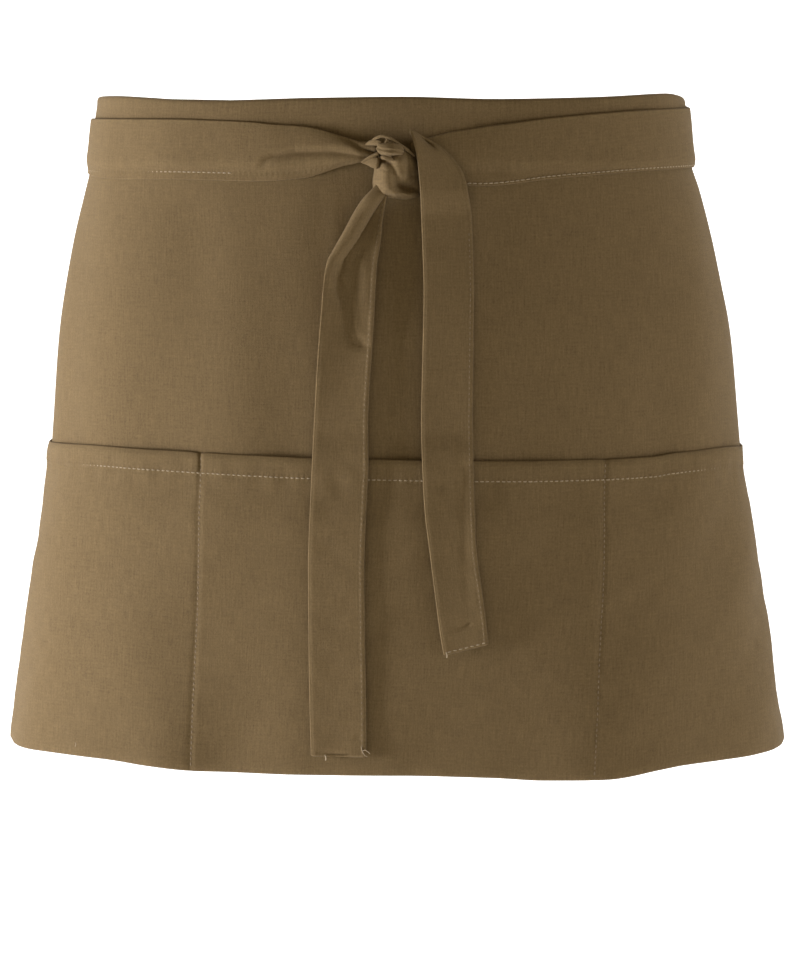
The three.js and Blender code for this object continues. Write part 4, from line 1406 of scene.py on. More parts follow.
@dataclass
class Tie:
    """One tie, from the knot round the side and across the back to where it is sewn on."""

    maker: Maker
    name: str
    node: str
    side: int
    rows: tuple[TieRow, ...]
    knot_edge: float
    furrows: tuple[Furrow, ...] = ()
    thickness: float = 0.0015
    seed: int = 31
    stitch_inset: float = 0.0035
    stitch_from: float = 0.012
    closes: float = 0.0
    closes_from: float = 0.7
    sunk: tuple[float, float] = (0.106, 0.13)
    tucked: float = 0.008
    sag: float = 0.0019
    sag_height: float = 0.008
    edge: float = 0.0009
    waves: tuple[Wave, ...] = (Wave(0, 0.05, 0.00024), Wave(1, 0.018, 0.00008))

    def __post_init__(self) -> None:
        """Work out the tie's milestones along the waist."""
        half_girth = float(self.maker.arcs.half_girth(0.0))
        near = self.maker.cut.width / 2
        far = 2 * half_girth - near - self.maker.cut.clearance
        self.milestones = (self.knot_edge, half_girth / 2, near, far)

    def read(self, column: str, place: Array) -> Array:
        """Read a column of the tie's rows at places from 0 to 3."""
        values = [getattr(row, column) for row in self.rows]
        return smooth_curve([row.place for row in self.rows], values, place)

    def surface(self, arc: Array, across: Array) -> Array:
        """Give the tie's middle: arc is the distance from the front, across is -1 below to 1 above."""
        arc, across = np.broadcast_arrays(np.asarray(arc, float), np.asarray(across, float))
        cut, body = self.maker.cut, self.maker.body
        place = np.interp(arc, self.milestones, (0, 1, 2, 3))
        z = (self.read("middle", place) + across * self.read("width", place) / 2) * cut.tie_width
        crown = self.read("crown", place) * (1 - np.minimum(1, np.abs(across)) ** 2)
        signed = self.side * arc
        dips = sum((furrow.dip(signed, z) for furrow in self.furrows), np.zeros(arc.shape))
        under = np.where(arc < cut.width / 2, drape(signed, body.top - z), 0.0)
        share = self.read("level", place)
        level = share * cut.band_thickness + cut.clearance + self.thickness / 2
        foot = body.top - cut.band_height
        level = level - self.sag * ease(-foot, self.sag_height - foot, -z) * ease(0.5, 0.9, share)
        offset = level + crown - dips + under + ripples(self.waves, arc, z, self.seed)
        angle = self.maker.arcs.angle(signed, np.full(arc.shape, foot))
        return body.at_angle(angle, z, offset)

    def build(self) -> bpy.types.Object:
        """Build the tie's doubled strip."""
        first = self.milestones[0] - self.tucked
        arcs = fine_lines(first, self.milestones[3], 0.0026, (first + 0.03,), reach=0.03, fine=0.0009)
        across = np.sin(np.linspace(-1, 1, 33) * math.pi / 2)
        arc, side = np.meshgrid(arcs, across)
        uv = np.stack([arc, side * self.maker.cut.tie_width / 2], -1)
        thickness = self.edge + (self.thickness - self.edge) * ease(-1.0, -0.72, side)
        return shell(self.name, self.surface(arc, side), thickness, uv)

    def make(self) -> bpy.types.Object:
        width = self.maker.cut.tie_width
        line = -1 + 2 * self.stitch_inset / width
        piece = self.build()
        seams = (Seam(Line.DOWN, line * width / 2, 0.0013, 0.9),)
        dress(piece, ClothFinish(self.name + "_weave", seams=seams, fade=0.01).material(), "tie", self.node)
        first, last = self.milestones[0], self.milestones[3]
        arc = self.maker.sewn_line(first + self.stitch_from, last - self.maker.end_gap)
        across = line - 2 * self.closes / width * ease(self.closes_from, 1.0, arc / self.milestones[1])
        seam = self.maker.seam_on(self.surface, arc, across, self.thickness / 2 - 0.00005, self.sunk)
        stitches = self.maker.thread.sew(self.name + "_stitches", [seam], self.seed)
        dress(stitches, self.maker.sewing, "tie")
        length = last - first
        return piece


@dataclass(frozen=True)
class TailRow:
    """One level of a hanging end, in millimetres.

    left and right are its edges in the front view. near, middle and far are how far it stands off
    what lies under it at its left edge, its middle and its right edge. roll is how much its left
    side is rolled up above that, and roll_end the share of its width where the roll ends.
    """

    z: float
    left: float
    right: float
    near: float
    middle: float
    far: float
    roll: float = 0.0
    roll_end: float = 0.3


LEFT_TAIL: tuple[TailRow, ...] = (
    TailRow(-26, -8.6, -4.6, 1.0, 1.5, 1.5, 0.0, 1.0),
    TailRow(-29.5, -11.4, -4.7, 1.5, 1.6, 1.8, 1.4, 0.95),
    TailRow(-32.5, -14.4, -4.9, 1.8, 1.2, 2.0, 3.2, 0.86),
    TailRow(-36.3, -17.6, -5.6, 2.0, 0.8, 2.4, 4.6, 0.74),
    TailRow(-42.5, -21.4, -6.9, 2.0, 0.4, 2.4, 5.4, 0.60),
    TailRow(-48.5, -24.6, -7.7, 2.0, 0.3, 2.4, 5.2, 0.49),
    TailRow(-54.4, -27.9, -8.2, 2.4, 0.3, 2.4, 4.6, 0.41),
    TailRow(-59.8, -31.0, -9.0, 3.2, 0.3, 2.6, 3.4, 0.34),
    TailRow(-65.5, -33.8, -10.0, 4.6, 0.3, 2.8, 1.8, 0.29),
    TailRow(-74.4, -35.3, -10.7, 5.8, 0.5, 3.0, 0.4, 0.28),
    TailRow(-90, -36.6, -11.4, 5.6, 0.8, 2.8),
    TailRow(-108.6, -38.1, -12.6, 4.0, 1.1, 2.2),
    TailRow(-144.8, -40.1, -14.5, 2.2, 1.2, 1.8),
    TailRow(-163, -41.0, -14.3, 1.8, 1.0, 1.6),
    TailRow(-180.4, -41.8, -15.1, 1.6, 1.0, 1.6),
    TailRow(-216, -43.0, -16.3, 1.4, 1.0, 1.5),
    TailRow(-251, -42.8, -16.0, 1.2, 1.0, 1.4),
    TailRow(-281, -42.4, -15.5, 1.1, 0.8, 1.3),
    TailRow(-306.6, -41.8, -15.4, 1.0, 0.8, 1.3),
)
LEFT_TAIL_FURROWS: tuple[Furrow, ...] = (
    Furrow(((-24.6, -58, 0.3), (-29.4, -72, 2.0), (-28.4, -79.3, 3.0), (-26, -84.2, 3.0), (-24.9, -89, 3.0),
            (-23.5, -97.6, 3.0), (-20.5, -103.7, 2.4), (-14.4, -106.2, 0.8)), 2.3),
    Furrow(((-16.5, -60.0, 0.0), (-15.8, -68.0, -1.3), (-15.6, -80.0, -1.3), (-16.4, -93.0, 0.0)), 3.0),
    Furrow(((-38.6, -305.3, 0.5), (-31.0, -305.7, 1.1), (-23.6, -306.0, 0.4)), 0.6),
    Furrow(((-22.6, -298.6, 0.0), (-19.0, -297.4, 0.5), (-16.6, -295.6, 0.0)), 1.2),
)
RIGHT_TAIL: tuple[TailRow, ...] = (
    TailRow(-1.6, 6.6, 8.0, 6.2, 4.6, 3.0),
    TailRow(-4.3, 7.6, 12.2, 7.6, 5.0, 2.0),
    TailRow(-6.5, 8.2, 16.4, 8.4, 5.0, 1.8),
    TailRow(-8.8, 8.8, 20.2, 8.8, 5.0, 1.6),
    TailRow(-12.1, 9.7, 24.6, 9.0, 5.0, 1.6),
    TailRow(-17, 10.5, 28.8, 8.8, 4.8, 1.5),
    TailRow(-21.6, 10.9, 31.8, 8.4, 4.6, 1.5),
    TailRow(-28, 11.5, 33.8, 7.6, 4.2, 1.5),
    TailRow(-45, 12.3, 36.2, 5.4, 3.2, 1.5),
    TailRow(-80.3, 13.4, 37.2, 3.6, 2.2, 1.3),
    TailRow(-113, 12.8, 36.9, 2.8, 1.7, 1.2),
    TailRow(-142.8, 12.2, 36.6, 2.4, 1.4, 1.2),
    TailRow(-168.7, 12.9, 37.1, 2.2, 1.3, 1.2),
    TailRow(-186.3, 13.9, 37.6, 2.1, 1.2, 1.4),
    TailRow(-203.9, 16.0, 38.3, 2.2, 1.0, 1.6),
    TailRow(-227.8, 19.0, 41.5, 1.5, 0.9, 1.6),
    TailRow(-243, 21.2, 43.2, 1.5, 1.0, 1.6),
    TailRow(-254.0, 23.2, 44.2, 1.5, 1.0, 1.7),
)
RIGHT_TAIL_FURROWS: tuple[Furrow, ...] = (
    Furrow(((9.8, -4.0, 0.6), (12.6, -5.9, 2.4), (14.8, -7.4, 3.6), (16.8, -9.0, 2.2),
            (18.6, -10.6, 0.0)), 1.0),
    Furrow(((26.5, -243.6, 0.2), (31.0, -243.4, 0.7), (35.0, -242.2, 1.1), (37.0, -240.8, 0.0)), 1.2),
    Furrow(((31.5, -140.0, 0.0), (32.0, -170.0, 0.6), (33.0, -205.0, 0.6), (35.0, -235.0, 0.2)), 2.6),
)


@dataclass
class Tail:
    """A tie's hanging end, from the knot down over the skirt and the pockets."""

    maker: Maker
    pockets: Pockets
    name: str
    node: str
    rows: tuple[TailRow, ...]
    furrows: tuple[Furrow, ...] = ()
    slant: float = 0.0
    thickness: float = 0.0015
    edge: float = 0.0009
    seed: int = 51
    stitch_inset: float = 0.0014
    stitch_from: float = -0.036
    stitched_end: bool = False
    ridge: float = 0.0004
    ridge_share: float = 0.97
    slant_reach: float = 0.03
    waves: tuple[Wave, ...] = (Wave(0, 0.045, 0.000245), Wave(1, 0.016, 0.00007))

    def read(self, column: str, z: Array) -> Array:
        """Read a column of the rows, in metres for all but roll_end, at heights in metres."""
        scale = 1.0 if column == "roll_end" else MM
        rows = self.rows[::-1]
        values = [getattr(row, column) for row in rows]
        return scale * smooth_curve([row.z * MM for row in rows], values, z)

    def layers_under(self, x: Array, z: Array) -> Array:
        """Give how far out the cloth under this end is: the tie, then the skirt, then the pocket."""
        cut = self.maker.cut
        pocket_top = self.maker.body.top - self.maker.body.length + cut.pocket_height
        step = 1.5 * cut.pocket_hem
        tie_face = cut.band_thickness + cut.clearance + cut.tie_thickness
        skirt_face = cut.skirt_offset + cut.cloth / 2 + drape(x, self.maker.body.top - z)
        upper = skirt_face + (tie_face - skirt_face) * ease(-cut.tie_width - step, -cut.tie_width, z)
        level = np.minimum(z, pocket_top)
        pocket = self.pockets.face_offset(x, x, self.maker.body.top - level, pocket_top - level)
        return pocket + (upper - pocket) * ease(pocket_top, pocket_top + step, z)

    def surface(self, across: Array, z: Array) -> Array:
        """Give the end's middle: across is -1 at its left edge and 1 at its right edge.

        It stands off what lies under it by a parabola through its near, middle and far lifts, less its
        furrows, plus a roll that follows (1 - (2 (share / end)^0.9 - 1)^2)^0.5, plus faint waves and a
        low ridge along its stitched edge.
        """
        across, z = np.broadcast_arrays(np.asarray(across, float), np.asarray(z, float))
        share = (across + 1) / 2
        left, right = self.read("left", z), self.read("right", z)
        x = left + (right - left) * share
        near, middle, far = (self.read(column, z) for column in ("near", "middle", "far"))
        lift = near * (1 - share) * (1 - 2 * share) + far * share * (2 * share - 1)
        lift = lift + middle * 4 * share * (1 - share)
        dips = sum((furrow.dip(x, z) for furrow in self.furrows), np.zeros(x.shape))
        turned = 2 * np.clip(share / self.read("roll_end", z), 0, 1) ** 0.9 - 1
        roll = self.read("roll", z) * np.sqrt(1 - turned**2)
        ridge = self.ridge * bump(share, self.ridge_share, 1 - self.ridge_share)
        uneven = roll + ridge + ripples(self.waves, x, z, self.seed)
        base = self.maker.body.depth_at(x, z) + self.layers_under(x, z) + self.maker.cut.clearance
        depth = base + self.thickness / 2 + np.maximum(lift - dips, 0.0) + uneven
        foot = self.rows[-1].z * MM
        slanted = self.slant * (0.5 - share) * ease(foot + self.slant_reach, foot, z)
        return np.stack([x, -depth, z - slanted], axis=-1)

    def build(self) -> bpy.types.Object:
        """Build the doubled strip."""
        width = self.maker.cut.tie_width
        top, foot = self.rows[0].z * MM, self.rows[-1].z * MM
        close = (top - 0.041, foot + 0.003)
        levels = fine_lines(foot, top, 0.0024, close, reach=0.041, fine=0.0011)[::-1]
        across = np.sin(np.linspace(-1, 1, 41) * math.pi / 2)
        side, z = np.meshgrid(across, levels)
        uv = np.stack([side * width / 2, top - z], -1)
        thickness = self.edge + (self.thickness - self.edge) * ease(0, 0.12, 1 - np.abs(side))
        return shell(self.name, self.surface(side, z), thickness, uv)

    def make(self) -> bpy.types.Object:
        maker = self.maker
        width = maker.cut.tie_width
        top, foot = self.rows[0].z * MM, self.rows[-1].z * MM
        line = 1 - 2 * self.stitch_inset / width
        piece = self.build()
        seams = (Seam(Line.ACROSS, line * width / 2, 0.0013, 0.9),)
        dress(piece, ClothFinish(self.name + "_weave", seams=seams, fade=0.01).material(), "tie", self.node)
        z = maker.sewn_line(foot + maker.end_gap, self.stitch_from)
        side = maker.seam_on(self.surface, np.full_like(z, line), z, self.thickness / 2 - 0.00005)
        fine = replace(maker.thread, length=0.0014, width=0.00034, height=0.0002)
        stitches = [fine.sew(self.name + "_stitches", [side], self.seed)]
        # painted shade: the edge stitches get the darker copy of the thread
        dress(stitches[0], maker.shaded_sewing, "tie")
        if self.stitched_end:
            across = np.arange(-0.9, 0.97, 0.05)
            end = maker.seam_on(self.surface, across, np.full_like(across, foot + 0.0007), self.thickness / 2)
            stitches.append(maker.thread.sew(self.name + "_end_stitches", [end], self.seed))
            dress(stitches[1], maker.sewing, "tie")
        return piece


@dataclass(frozen=True)
class LooseEnd:
    """A loose end of sewing thread, by its places in millimetres: x, z and height off what is under it."""

    name: str
    places: tuple[tuple[float, float, float], ...]
    radius: float = 0.00022

    def make(self, tail: Tail) -> None:
        """Build and dress the thread over the cloth that lies under a hanging end."""
        table = np.array(self.places) * MM
        run = np.concatenate([[0], np.cumsum(np.linalg.norm(np.diff(table, axis=0), axis=1))])
        x, z, lift = through(run, table, np.linspace(0, run[-1], 48)).T
        depth = tail.maker.body.depth_at(x, z) + tail.layers_under(x, z) + lift
        piece = tube(self.name, np.stack([x, -depth, z], axis=-1), self.radius)
        dress(piece, tail.maker.sewing, "tie")


LOOSE_ENDS: tuple[LooseEnd, ...] = (
    LooseEnd("loose_end_foot", ((-35.2, -306.2, 3.0), (-34.8, -307.4, 3.6), (-34.9, -308.9, 2.2)), 0.00036),
    LooseEnd(
        "loose_end_curl",
        ((-17.0, -304.4, 3.2), (-15.8, -303.5, 4.0), (-14.3, -304.2, 4.0), (-13.4, -305.4, 2.6)),
    ),
    LooseEnd(
        "loose_end_side",
        ((-17.4, -302.0, 3.4), (-16.9, -304.2, 3.8), (-15.7, -306.2, 3.4), (-14.6, -307.0, 2.0)),
    ),
    LooseEnd("loose_end_right", ((24.0, -255.4, 3.0), (24.5, -256.8, 3.0), (24.4, -258.2, 1.8)), 0.0003),
    LooseEnd("loose_end_hem", ((-160.4, -304.0, 0.4), (-159.8, -305.8, 1.2), (-160.2, -308.0, 0.8))),
)


@dataclass(frozen=True)
class Station:
    """A place on a strand of the knot, in millimetres.

    x and z are its middle from the front, proud is how far it stands off the waistband, and wide and
    thick are its half width in the front view and its half thickness.
    """

    x: float
    z: float
    proud: float
    wide: float
    thick: float


@dataclass(frozen=True)
class Strand:
    """One fold of the tied cloth: a soft flattened roll that follows its stations."""

    name: str
    stations: tuple[Station, ...]
    seed: int
    wrinkle: float = 0.1


KNOT: tuple[Strand, ...] = (
    Strand(
        "knot_front",
        (
            Station(-8.8, -9.2, 10.6, 1.6, 1.8),
            Station(-6.8, -9.9, 13.6, 2.7, 3.0),
            Station(-3.4, -10.2, 14.8, 3.0, 3.4),
            Station(0.2, -10.6, 13.4, 2.6, 2.8),
            Station(2.8, -11.6, 10.8, 1.5, 1.8),
        ),
        seed=63, wrinkle=0.25,
    ),
    Strand(
        "knot_loop",
        (
            Station(-12.0, -6.2, 7.0, 0.7, 0.9),
            Station(-10.2, -5.0, 10.4, 0.75, 1.1),
            Station(-7.2, -4.0, 12.8, 0.8, 1.2),
            Station(-4.0, -4.6, 13.4, 0.8, 1.2),
            Station(-1.0, -6.6, 12.8, 0.8, 1.2),
            Station(2.2, -8.7, 11.4, 0.8, 1.2),
            Station(5.6, -11.0, 9.6, 0.8, 1.2),
            Station(8.6, -13.6, 7.0, 0.8, 1.2),
        ),
        seed=65,
    ),
    Strand(
        "knot_spoke",
        (
            Station(-4.2, -4.4, 12.4, 0.7, 0.8),
            Station(-4.8, -6.4, 13.6, 0.9, 1.0),
            Station(-5.6, -8.6, 14.0, 1.3, 1.4),
        ),
        seed=64,
    ),
    Strand(
        "knot_lip",
        (
            Station(-15.2, -8.1, 4.6, 0.4, 0.6),
            Station(-13.2, -7.4, 7.0, 1.2, 1.1),
            Station(-10.8, -6.9, 9.4, 1.6, 1.4),
            Station(-8.4, -7.2, 11.0, 1.5, 1.4),
            Station(-6.4, -8.2, 11.4, 1.0, 1.0),
        ),
        seed=66, wrinkle=0.15,
    ),
    Strand(
        "knot_nub",
        (
            Station(-7.4, -14.1, 12.0, 0.7, 0.9),
            Station(-5.8, -14.4, 14.2, 1.1, 1.4),
            Station(-3.9, -14.8, 14.4, 1.0, 1.3),
            Station(-2.2, -15.4, 12.4, 0.7, 0.9),
        ),
        seed=67,
    ),
    Strand(
        "knot_ear",
        (
            Station(-17.3, -16.8, 5.0, 0.25, 0.4),
            Station(-14.6, -16.9, 6.6, 1.2, 0.7),
            Station(-11.8, -17.0, 8.6, 2.6, 1.0),
            Station(-8.6, -17.4, 10.2, 3.0, 1.3),
        ),
        seed=68, wrinkle=0.15,
    ),
    Strand(
        "knot_fold",
        (
            Station(-17.4, -16.6, 5.2, 0.3, 0.5),
            Station(-14.6, -15.1, 7.0, 0.7, 0.9),
            Station(-11.6, -13.6, 8.8, 0.9, 1.1),
            Station(-8.6, -12.1, 9.6, 0.9, 1.1),
        ),
        seed=70,
    ),
)


@dataclass(frozen=True)
class Level:
    """A level of the knot's body, in millimetres: its height and its left and right edges from the front."""

    z: float
    left: float
    right: float


@dataclass(frozen=True)
class Mass:
    """A bulging fold of the knot's body, in millimetres.

    line is its places as (x, z, how proud it stands there, half width).
    """

    line: tuple[tuple[float, float, float, float], ...]

    def height(self, x: Array, z: Array) -> Array:
        """Give how proud it stands at places in millimetres: proud - distance^2 / width, at its highest."""
        best = np.full(x.shape, -50.0)
        for (x0, z0, p0, w0), (x1, z1, p1, w1) in zip(self.line[:-1], self.line[1:]):
            run_x, run_z = x1 - x0, z1 - z0
            t = np.clip(((x - x0) * run_x + (z - z0) * run_z) / (run_x**2 + run_z**2), 0, 1)
            gap = np.hypot(x - x0 - t * run_x, z - z0 - t * run_z)
            best = np.maximum(best, p0 + (p1 - p0) * t - gap**2 / (w0 + (w1 - w0) * t))
        return best


KNOT_LEVELS: tuple[Level, ...] = (
    Level(-6.4, -4.5, 0.5),
    Level(-8.0, -6.0, 2.8),
    Level(-10.5, -6.6, 5.6),
    Level(-13.2, -7.6, 8.8),
    Level(-15.2, -9.6, 10.0),
    Level(-18.2, -10.9, 10.8),
    Level(-22.0, -11.4, 11.2),
    Level(-26.5, -11.9, 11.4),
    Level(-29.5, -11.6, 11.4),
    Level(-32.0, -9.8, 11.2),
    Level(-33.8, -7.0, 10.8),
    Level(-35.0, -3.0, 9.0),
)
KNOT_MASSES: tuple[Mass, ...] = (
    Mass(((-6.6, -15.5, 10.6, 5.0), (-5.8, -19.5, 12.2, 5.8), (-5.6, -24, 12.6, 6.0),
          (-5.0, -28.4, 11.8, 5.2), (-1.0, -31.6, 9.6, 3.4), (5, -32.8, 7.0, 2.4), (11, -32.8, 4.4, 2.2))),
    Mass(((-1.5, -13.0, 11.2, 5.5), (1.2, -17.0, 12.4, 6.5), (2.4, -21.0, 11.6, 6.5),
          (4.0, -24.0, 9.0, 5.0))),
    Mass(((4.5, -12.0, 10.0, 5.5), (6.6, -16.0, 9.8, 6.0), (7.6, -20.0, 8.8, 6.0), (7.6, -23.5, 7.0, 5.0))),
)
KNOT_FURROWS: tuple[Furrow, ...] = (
    Furrow(((-8.6, -13.6, 3.0), (-7.4, -15.6, 2.6), (-5.4, -16.3, 1.6), (-2.8, -16.6, 0.0)), 0.8),
    Furrow(((0.5, -26.4, 0.0), (3.0, -28.0, 1.2), (8.0, -29.3, 1.4), (12.0, -30.0, 1.4)), 1.6),
    Furrow(((1.0, -31.2, 0.0), (3.0, -31.8, -0.5), (6.0, -32.6, -0.5), (9.0, -33.2, 0.0)), 0.45),
    Furrow(((-10.5, -28.4, 0.5), (-8.4, -28.9, 0.5), (-6.4, -28.0, 0.0)), 0.5),
    Furrow(((-9.6, -30.6, 0.4), (-7.4, -30.4, 0.4), (-5.4, -29.2, 0.0)), 0.5),
    Furrow(((-8.4, -19.4, 0.0), (-6.0, -20.6, 0.5), (-3.6, -21.0, 0.0)), 0.7),
)


@dataclass
class Knot:
    """The knot in front: a body of bulging folds, with strands of the ties' doubled cloth folded over it."""

    maker: Maker
    strands: tuple[Strand, ...] = KNOT
    levels: tuple[Level, ...] = KNOT_LEVELS
    masses: tuple[Mass, ...] = KNOT_MASSES
    furrows: tuple[Furrow, ...] = KNOT_FURROWS
    base: float = 0.0975
    floor: float = 4.5
    blend: float = 1.6
    crown: float = 0.7
    back: float = 0.6
    stand_off: float = 1.5
    waves: tuple[Wave, ...] = (Wave(61, 0.006, 0.18),)
    squareness: float = 2.3
    least_reach: float = 0.0008
    rings: int = 72
    sides: int = 40
    body_rings: int = 150
    body_sides: int = 180

    def body_points(self) -> tuple[Array, Array]:
        """Give the body's rings of points and their cloth places.

        Each level is a ring between its left and right edges. Its front stands as proud as the
        smoothly joined masses less the furrows, (a + b + sqrt((a - b)^2 + blend^2)) / 2, times
        sin^0.7 round the ring, and its back is a shallow half ellipse.
        """
        heights = np.array([level.z for level in self.levels])[::-1]
        share = (1 - np.cos(np.linspace(0, math.pi, self.body_rings))) / 2
        z = heights[0] + (heights[-1] - heights[0]) * share
        left = smooth_curve(heights, [level.left for level in self.levels][::-1], z)
        right = smooth_curve(heights, [level.right for level in self.levels][::-1], z)
        narrow = np.sqrt(np.clip(1 - (2 * share - 1) ** 16, 0.0004, 1))
        middle, half = (left + right) / 2, (right - left) / 2 * narrow
        angles = -np.arange(self.body_sides) * math.tau / self.body_sides
        sin, cos = np.sin(angles)[None, :], np.cos(angles)[None, :]
        x = middle[:, None] + half[:, None] * cos
        level = np.broadcast_to(z[:, None], x.shape)
        proud = np.full(x.shape, self.floor)
        for mass in self.masses:
            other = mass.height(x, level)
            proud = (proud + other + np.sqrt((proud - other) ** 2 + self.blend**2)) / 2
        for furrow in self.furrows:
            proud = proud - furrow.dip(x * MM, level * MM) / MM
        proud = proud + ripples(self.waves, x * MM, level * MM)
        ends = np.minimum(1, np.minimum(share, 1 - share) * 9)[:, None] ** 0.5
        front = proud * np.abs(sin) ** self.crown * ends
        out = np.where(sin > 0, front, -self.back * np.abs(sin))
        points = np.stack([x * MM, -self.base - (out + self.stand_off) * MM, level * MM], axis=-1)
        places = np.stack([x * MM, level * MM], axis=-1)
        return points.reshape(-1, 3), places.reshape(-1, 2)

    def points(self, strand: Strand) -> tuple[Array, Array]:
        """Give a strand's rings of points and their cloth places.

        A ring is (wide cos^e, thick sin^e) about the strand's run, with e = 2 / squareness, narrowed
        by sqrt(1 - t^2) within one thickness of each end and roughened by lengthways waves.
        """
        table = np.array([[s.x, -s.proud, s.z, s.wide, s.thick] for s in strand.stations]) * MM
        steps = np.linalg.norm(np.diff(table[:, :3], axis=0), axis=1)
        known = np.concatenate([[0], np.cumsum(steps)])
        at = known[-1] * (1 - np.cos(np.linspace(0, math.pi, self.rings))) / 2
        path = through(known, table[:, :3], at) - np.array([0, self.base, 0])
        wide, thick = (smooth_curve(known, table[:, k], at) for k in (3, 4))
        tangent = unit(np.gradient(path, at, axis=0))
        side = unit(np.cross(tangent, np.array([0.0, -1.0, 0.0])))
        face = np.cross(side, tangent)
        reach = np.maximum(thick, self.least_reach)
        ends = np.clip(np.minimum(at, known[-1] - at) / reach, 0, 1)
        taper = np.sqrt(np.maximum(0.02, 1 - (1 - ends) ** 2))
        angles = np.arange(self.sides) * math.tau / self.sides
        power = 2 / self.squareness
        across = np.sign(np.cos(angles)) * np.abs(np.cos(angles)) ** power
        out = np.sign(np.sin(angles)) * np.abs(np.sin(angles)) ** power
        swell = wobble(across[None, :] * 0.01, at[:, None] * 0.3 + 0.002 * out[None, :], strand.seed, 0.006)
        rough = 1 + strand.wrinkle * 0.45 * swell
        scale = taper[:, None] * rough
        points = (
            path[:, None, :]
            + (wide[:, None] * across * scale)[..., None] * side[:, None, :]
            + (thick[:, None] * out * scale)[..., None] * face[:, None, :]
        )
        places = np.stack(np.broadcast_arrays(across * 0.008, at[:, None]), axis=-1)
        return points.reshape(-1, 3), places.reshape(-1, 2)

    def make(self) -> list[bpy.types.Object]:
        """Build and dress the body and every strand."""
        weave = ClothFinish("knot_weave", fade=0.01).material()
        points, places = self.body_points()
        body = mesh_object("knot_wrap", points, tube_faces(1, self.body_rings, self.body_sides), places)
        dress(body, weave, "tie", "knot")
        pieces = [body]
        faces = tube_faces(1, self.rings, self.sides)
        for strand in self.strands:
            points, places = self.points(strand)
            piece = mesh_object(strand.name, points, faces, places)
            dress(piece, weave, "tie")
            pieces.append(piece)
        return pieces


@dataclass(frozen=True)
class Lamp:
    """A rectangular light that faces the apron's middle."""

    name: str
    place: tuple[float, float, float]
    size: tuple[float, float]
    power: float
    colour: tuple[float, float, float] = (1.0, 1.03, 1.18)
    aim: tuple[float, float, float] = (0.0, 0.0, -0.13)

    def make(self) -> None:
        """Add the light."""
        light = bpy.data.lights.new(self.name, "AREA")
        light.shape = "RECTANGLE"
        light.size, light.size_y = self.size
        light.energy = self.power
        light.color = self.colour
        lamp = bpy.data.objects.new(self.name, light)
        lamp.location = self.place
        towards = Vector(self.aim) - Vector(self.place)
        lamp.rotation_euler = towards.to_track_quat("-Z", "Y").to_euler()
        bpy.context.scene.collection.objects.link(lamp)


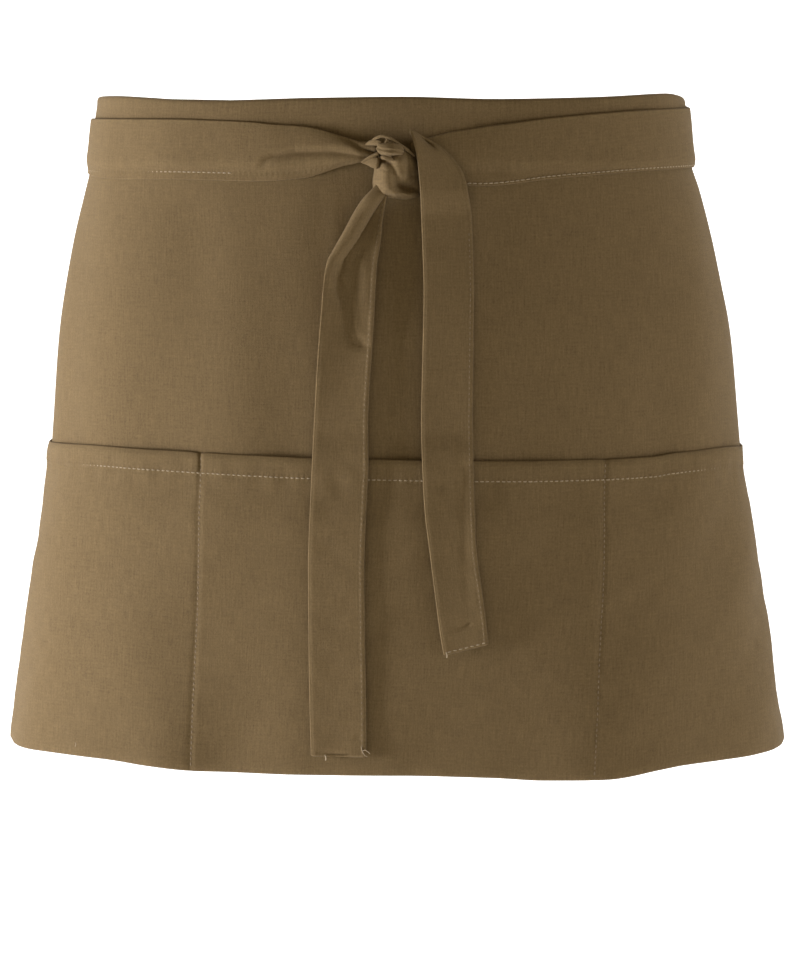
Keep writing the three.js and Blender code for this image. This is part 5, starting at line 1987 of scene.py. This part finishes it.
@dataclass(frozen=True)
class Studio:
    """A white sweep under and behind the apron, a light on each side, a pale surround, and the camera."""

    lamps: tuple[Lamp, ...] = (
        Lamp("key_light", (-2.15, -0.46, -0.3), (0.5, 0.8), 53.0),
        Lamp("fill_light", (2.05, -0.62, -0.3), (0.7, 1.0), 14.3),
    )
    floor: float = -1.0
    reach: float = 6.5
    ambient: float = 0.245
    air: tuple[float, float, float, float] = (1.0, 0.87, 0.61, 1.0)
    pale: tuple[float, float, float, float] = (0.86, 0.86, 0.86, 1.0)
    camera_place: tuple[float, float, float] = (0.0015, -2.5, 0.015)
    camera_pitch: float = 4.46
    lens: float = 184.16

    def sweep(self) -> bpy.types.Object:
        """Build the floor, which curves up into the backdrop behind."""
        turn = np.linspace(0, math.pi / 2, 17)
        y = np.concatenate([[-self.reach], self.reach - 1 + np.sin(turn), [self.reach]])
        z = np.concatenate([[0.0], 1 - np.cos(turn), [2 * self.reach]]) + self.floor
        x = np.array([-2 * self.reach, 2 * self.reach])
        points = np.stack(np.broadcast_arrays(x[None, :], y[:, None], z[:, None]), axis=-1).reshape(-1, 3)
        index = np.arange(len(points)).reshape(len(y), 2)
        faces = np.stack([index[:-1, 0], index[:-1, 1], index[1:, 1], index[1:, 0]], axis=-1)
        sweep = mesh_object("studio_sweep", points, faces)
        sweep.data.materials.append(PaperFinish("studio_paper").material())
        return sweep

    def surround(self) -> bpy.types.World:
        """Build the room: soft warm light from all round, from a surround that is seen as pale grey."""
        world = bpy.data.worlds.new("studio_air")
        world.use_nodes = True
        tree = world.node_tree
        light = tree.nodes["Background"]
        light.inputs["Color"].default_value = self.air
        light.inputs["Strength"].default_value = self.ambient
        seen = tree.nodes.new("ShaderNodeBackground")
        seen.inputs["Color"].default_value = self.pale
        mixed = tree.nodes.new("ShaderNodeMixShader")
        tree.links.new(tree.nodes.new("ShaderNodeLightPath").outputs["Is Camera Ray"], mixed.inputs[0])
        tree.links.new(light.outputs[0], mixed.inputs[1])
        tree.links.new(seen.outputs[0], mixed.inputs[2])
        tree.links.new(mixed.outputs[0], tree.nodes["World Output"].inputs["Surface"])
        return world

    def make(self) -> None:
        """Set up the sweep, the lights, the world, the colours and the camera."""
        scene = bpy.context.scene
        self.sweep()
        for lamp in self.lamps:
            lamp.make()
        scene.world = self.surround()
        scene.view_settings.view_transform = "Standard"
        lens = bpy.data.cameras.new("camera")
        lens.sensor_width = 36
        lens.sensor_fit = "AUTO"
        lens.lens = self.lens
        camera = bpy.data.objects.new("camera", lens)
        camera.location = self.camera_place
        camera.rotation_euler = (math.radians(90 - self.camera_pitch), 0, 0)
        scene.collection.objects.link(camera)
        scene.camera = camera


def main() -> None:
    """Load the solids, build every part of the apron over them, light it and set the camera."""
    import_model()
    maker = Maker()
    Skirt(maker).make()
    pockets = Pockets(maker)
    pockets.make()
    Waistband(maker).make()
    Tie(
        maker, "tie_left_cloth", "tie_left", side=-1, rows=LEFT_TIE, furrows=LEFT_TIE_FURROWS,
        knot_edge=0.0150, stitch_from=0.062, closes=0.0021, seed=31,
    ).make()
    Tie(
        maker, "tie_right_cloth", "tie_right", side=1, rows=RIGHT_TIE, furrows=RIGHT_TIE_FURROWS,
        knot_edge=0.0114, stitch_inset=0.0009, tucked=0.001, seed=35,
    ).make()
    Knot(maker).make()
    left_tail = Tail(
        maker, pockets, "tail_left_cloth", "tail_left", rows=LEFT_TAIL, furrows=LEFT_TAIL_FURROWS, seed=51
    )
    left_tail.make()
    Tail(
        maker, pockets, "tail_right_cloth", "tail_right", rows=RIGHT_TAIL, furrows=RIGHT_TAIL_FURROWS,
        seed=55, slant=0.0052, stitch_from=-0.050, stitched_end=True,
    ).make()
    for loose in LOOSE_ENDS:
        loose.make(left_tail)
    Studio().make()


if __name__ == "__main__":
    logging.basicConfig(level=logging.INFO, format="%(message)s")
    main()
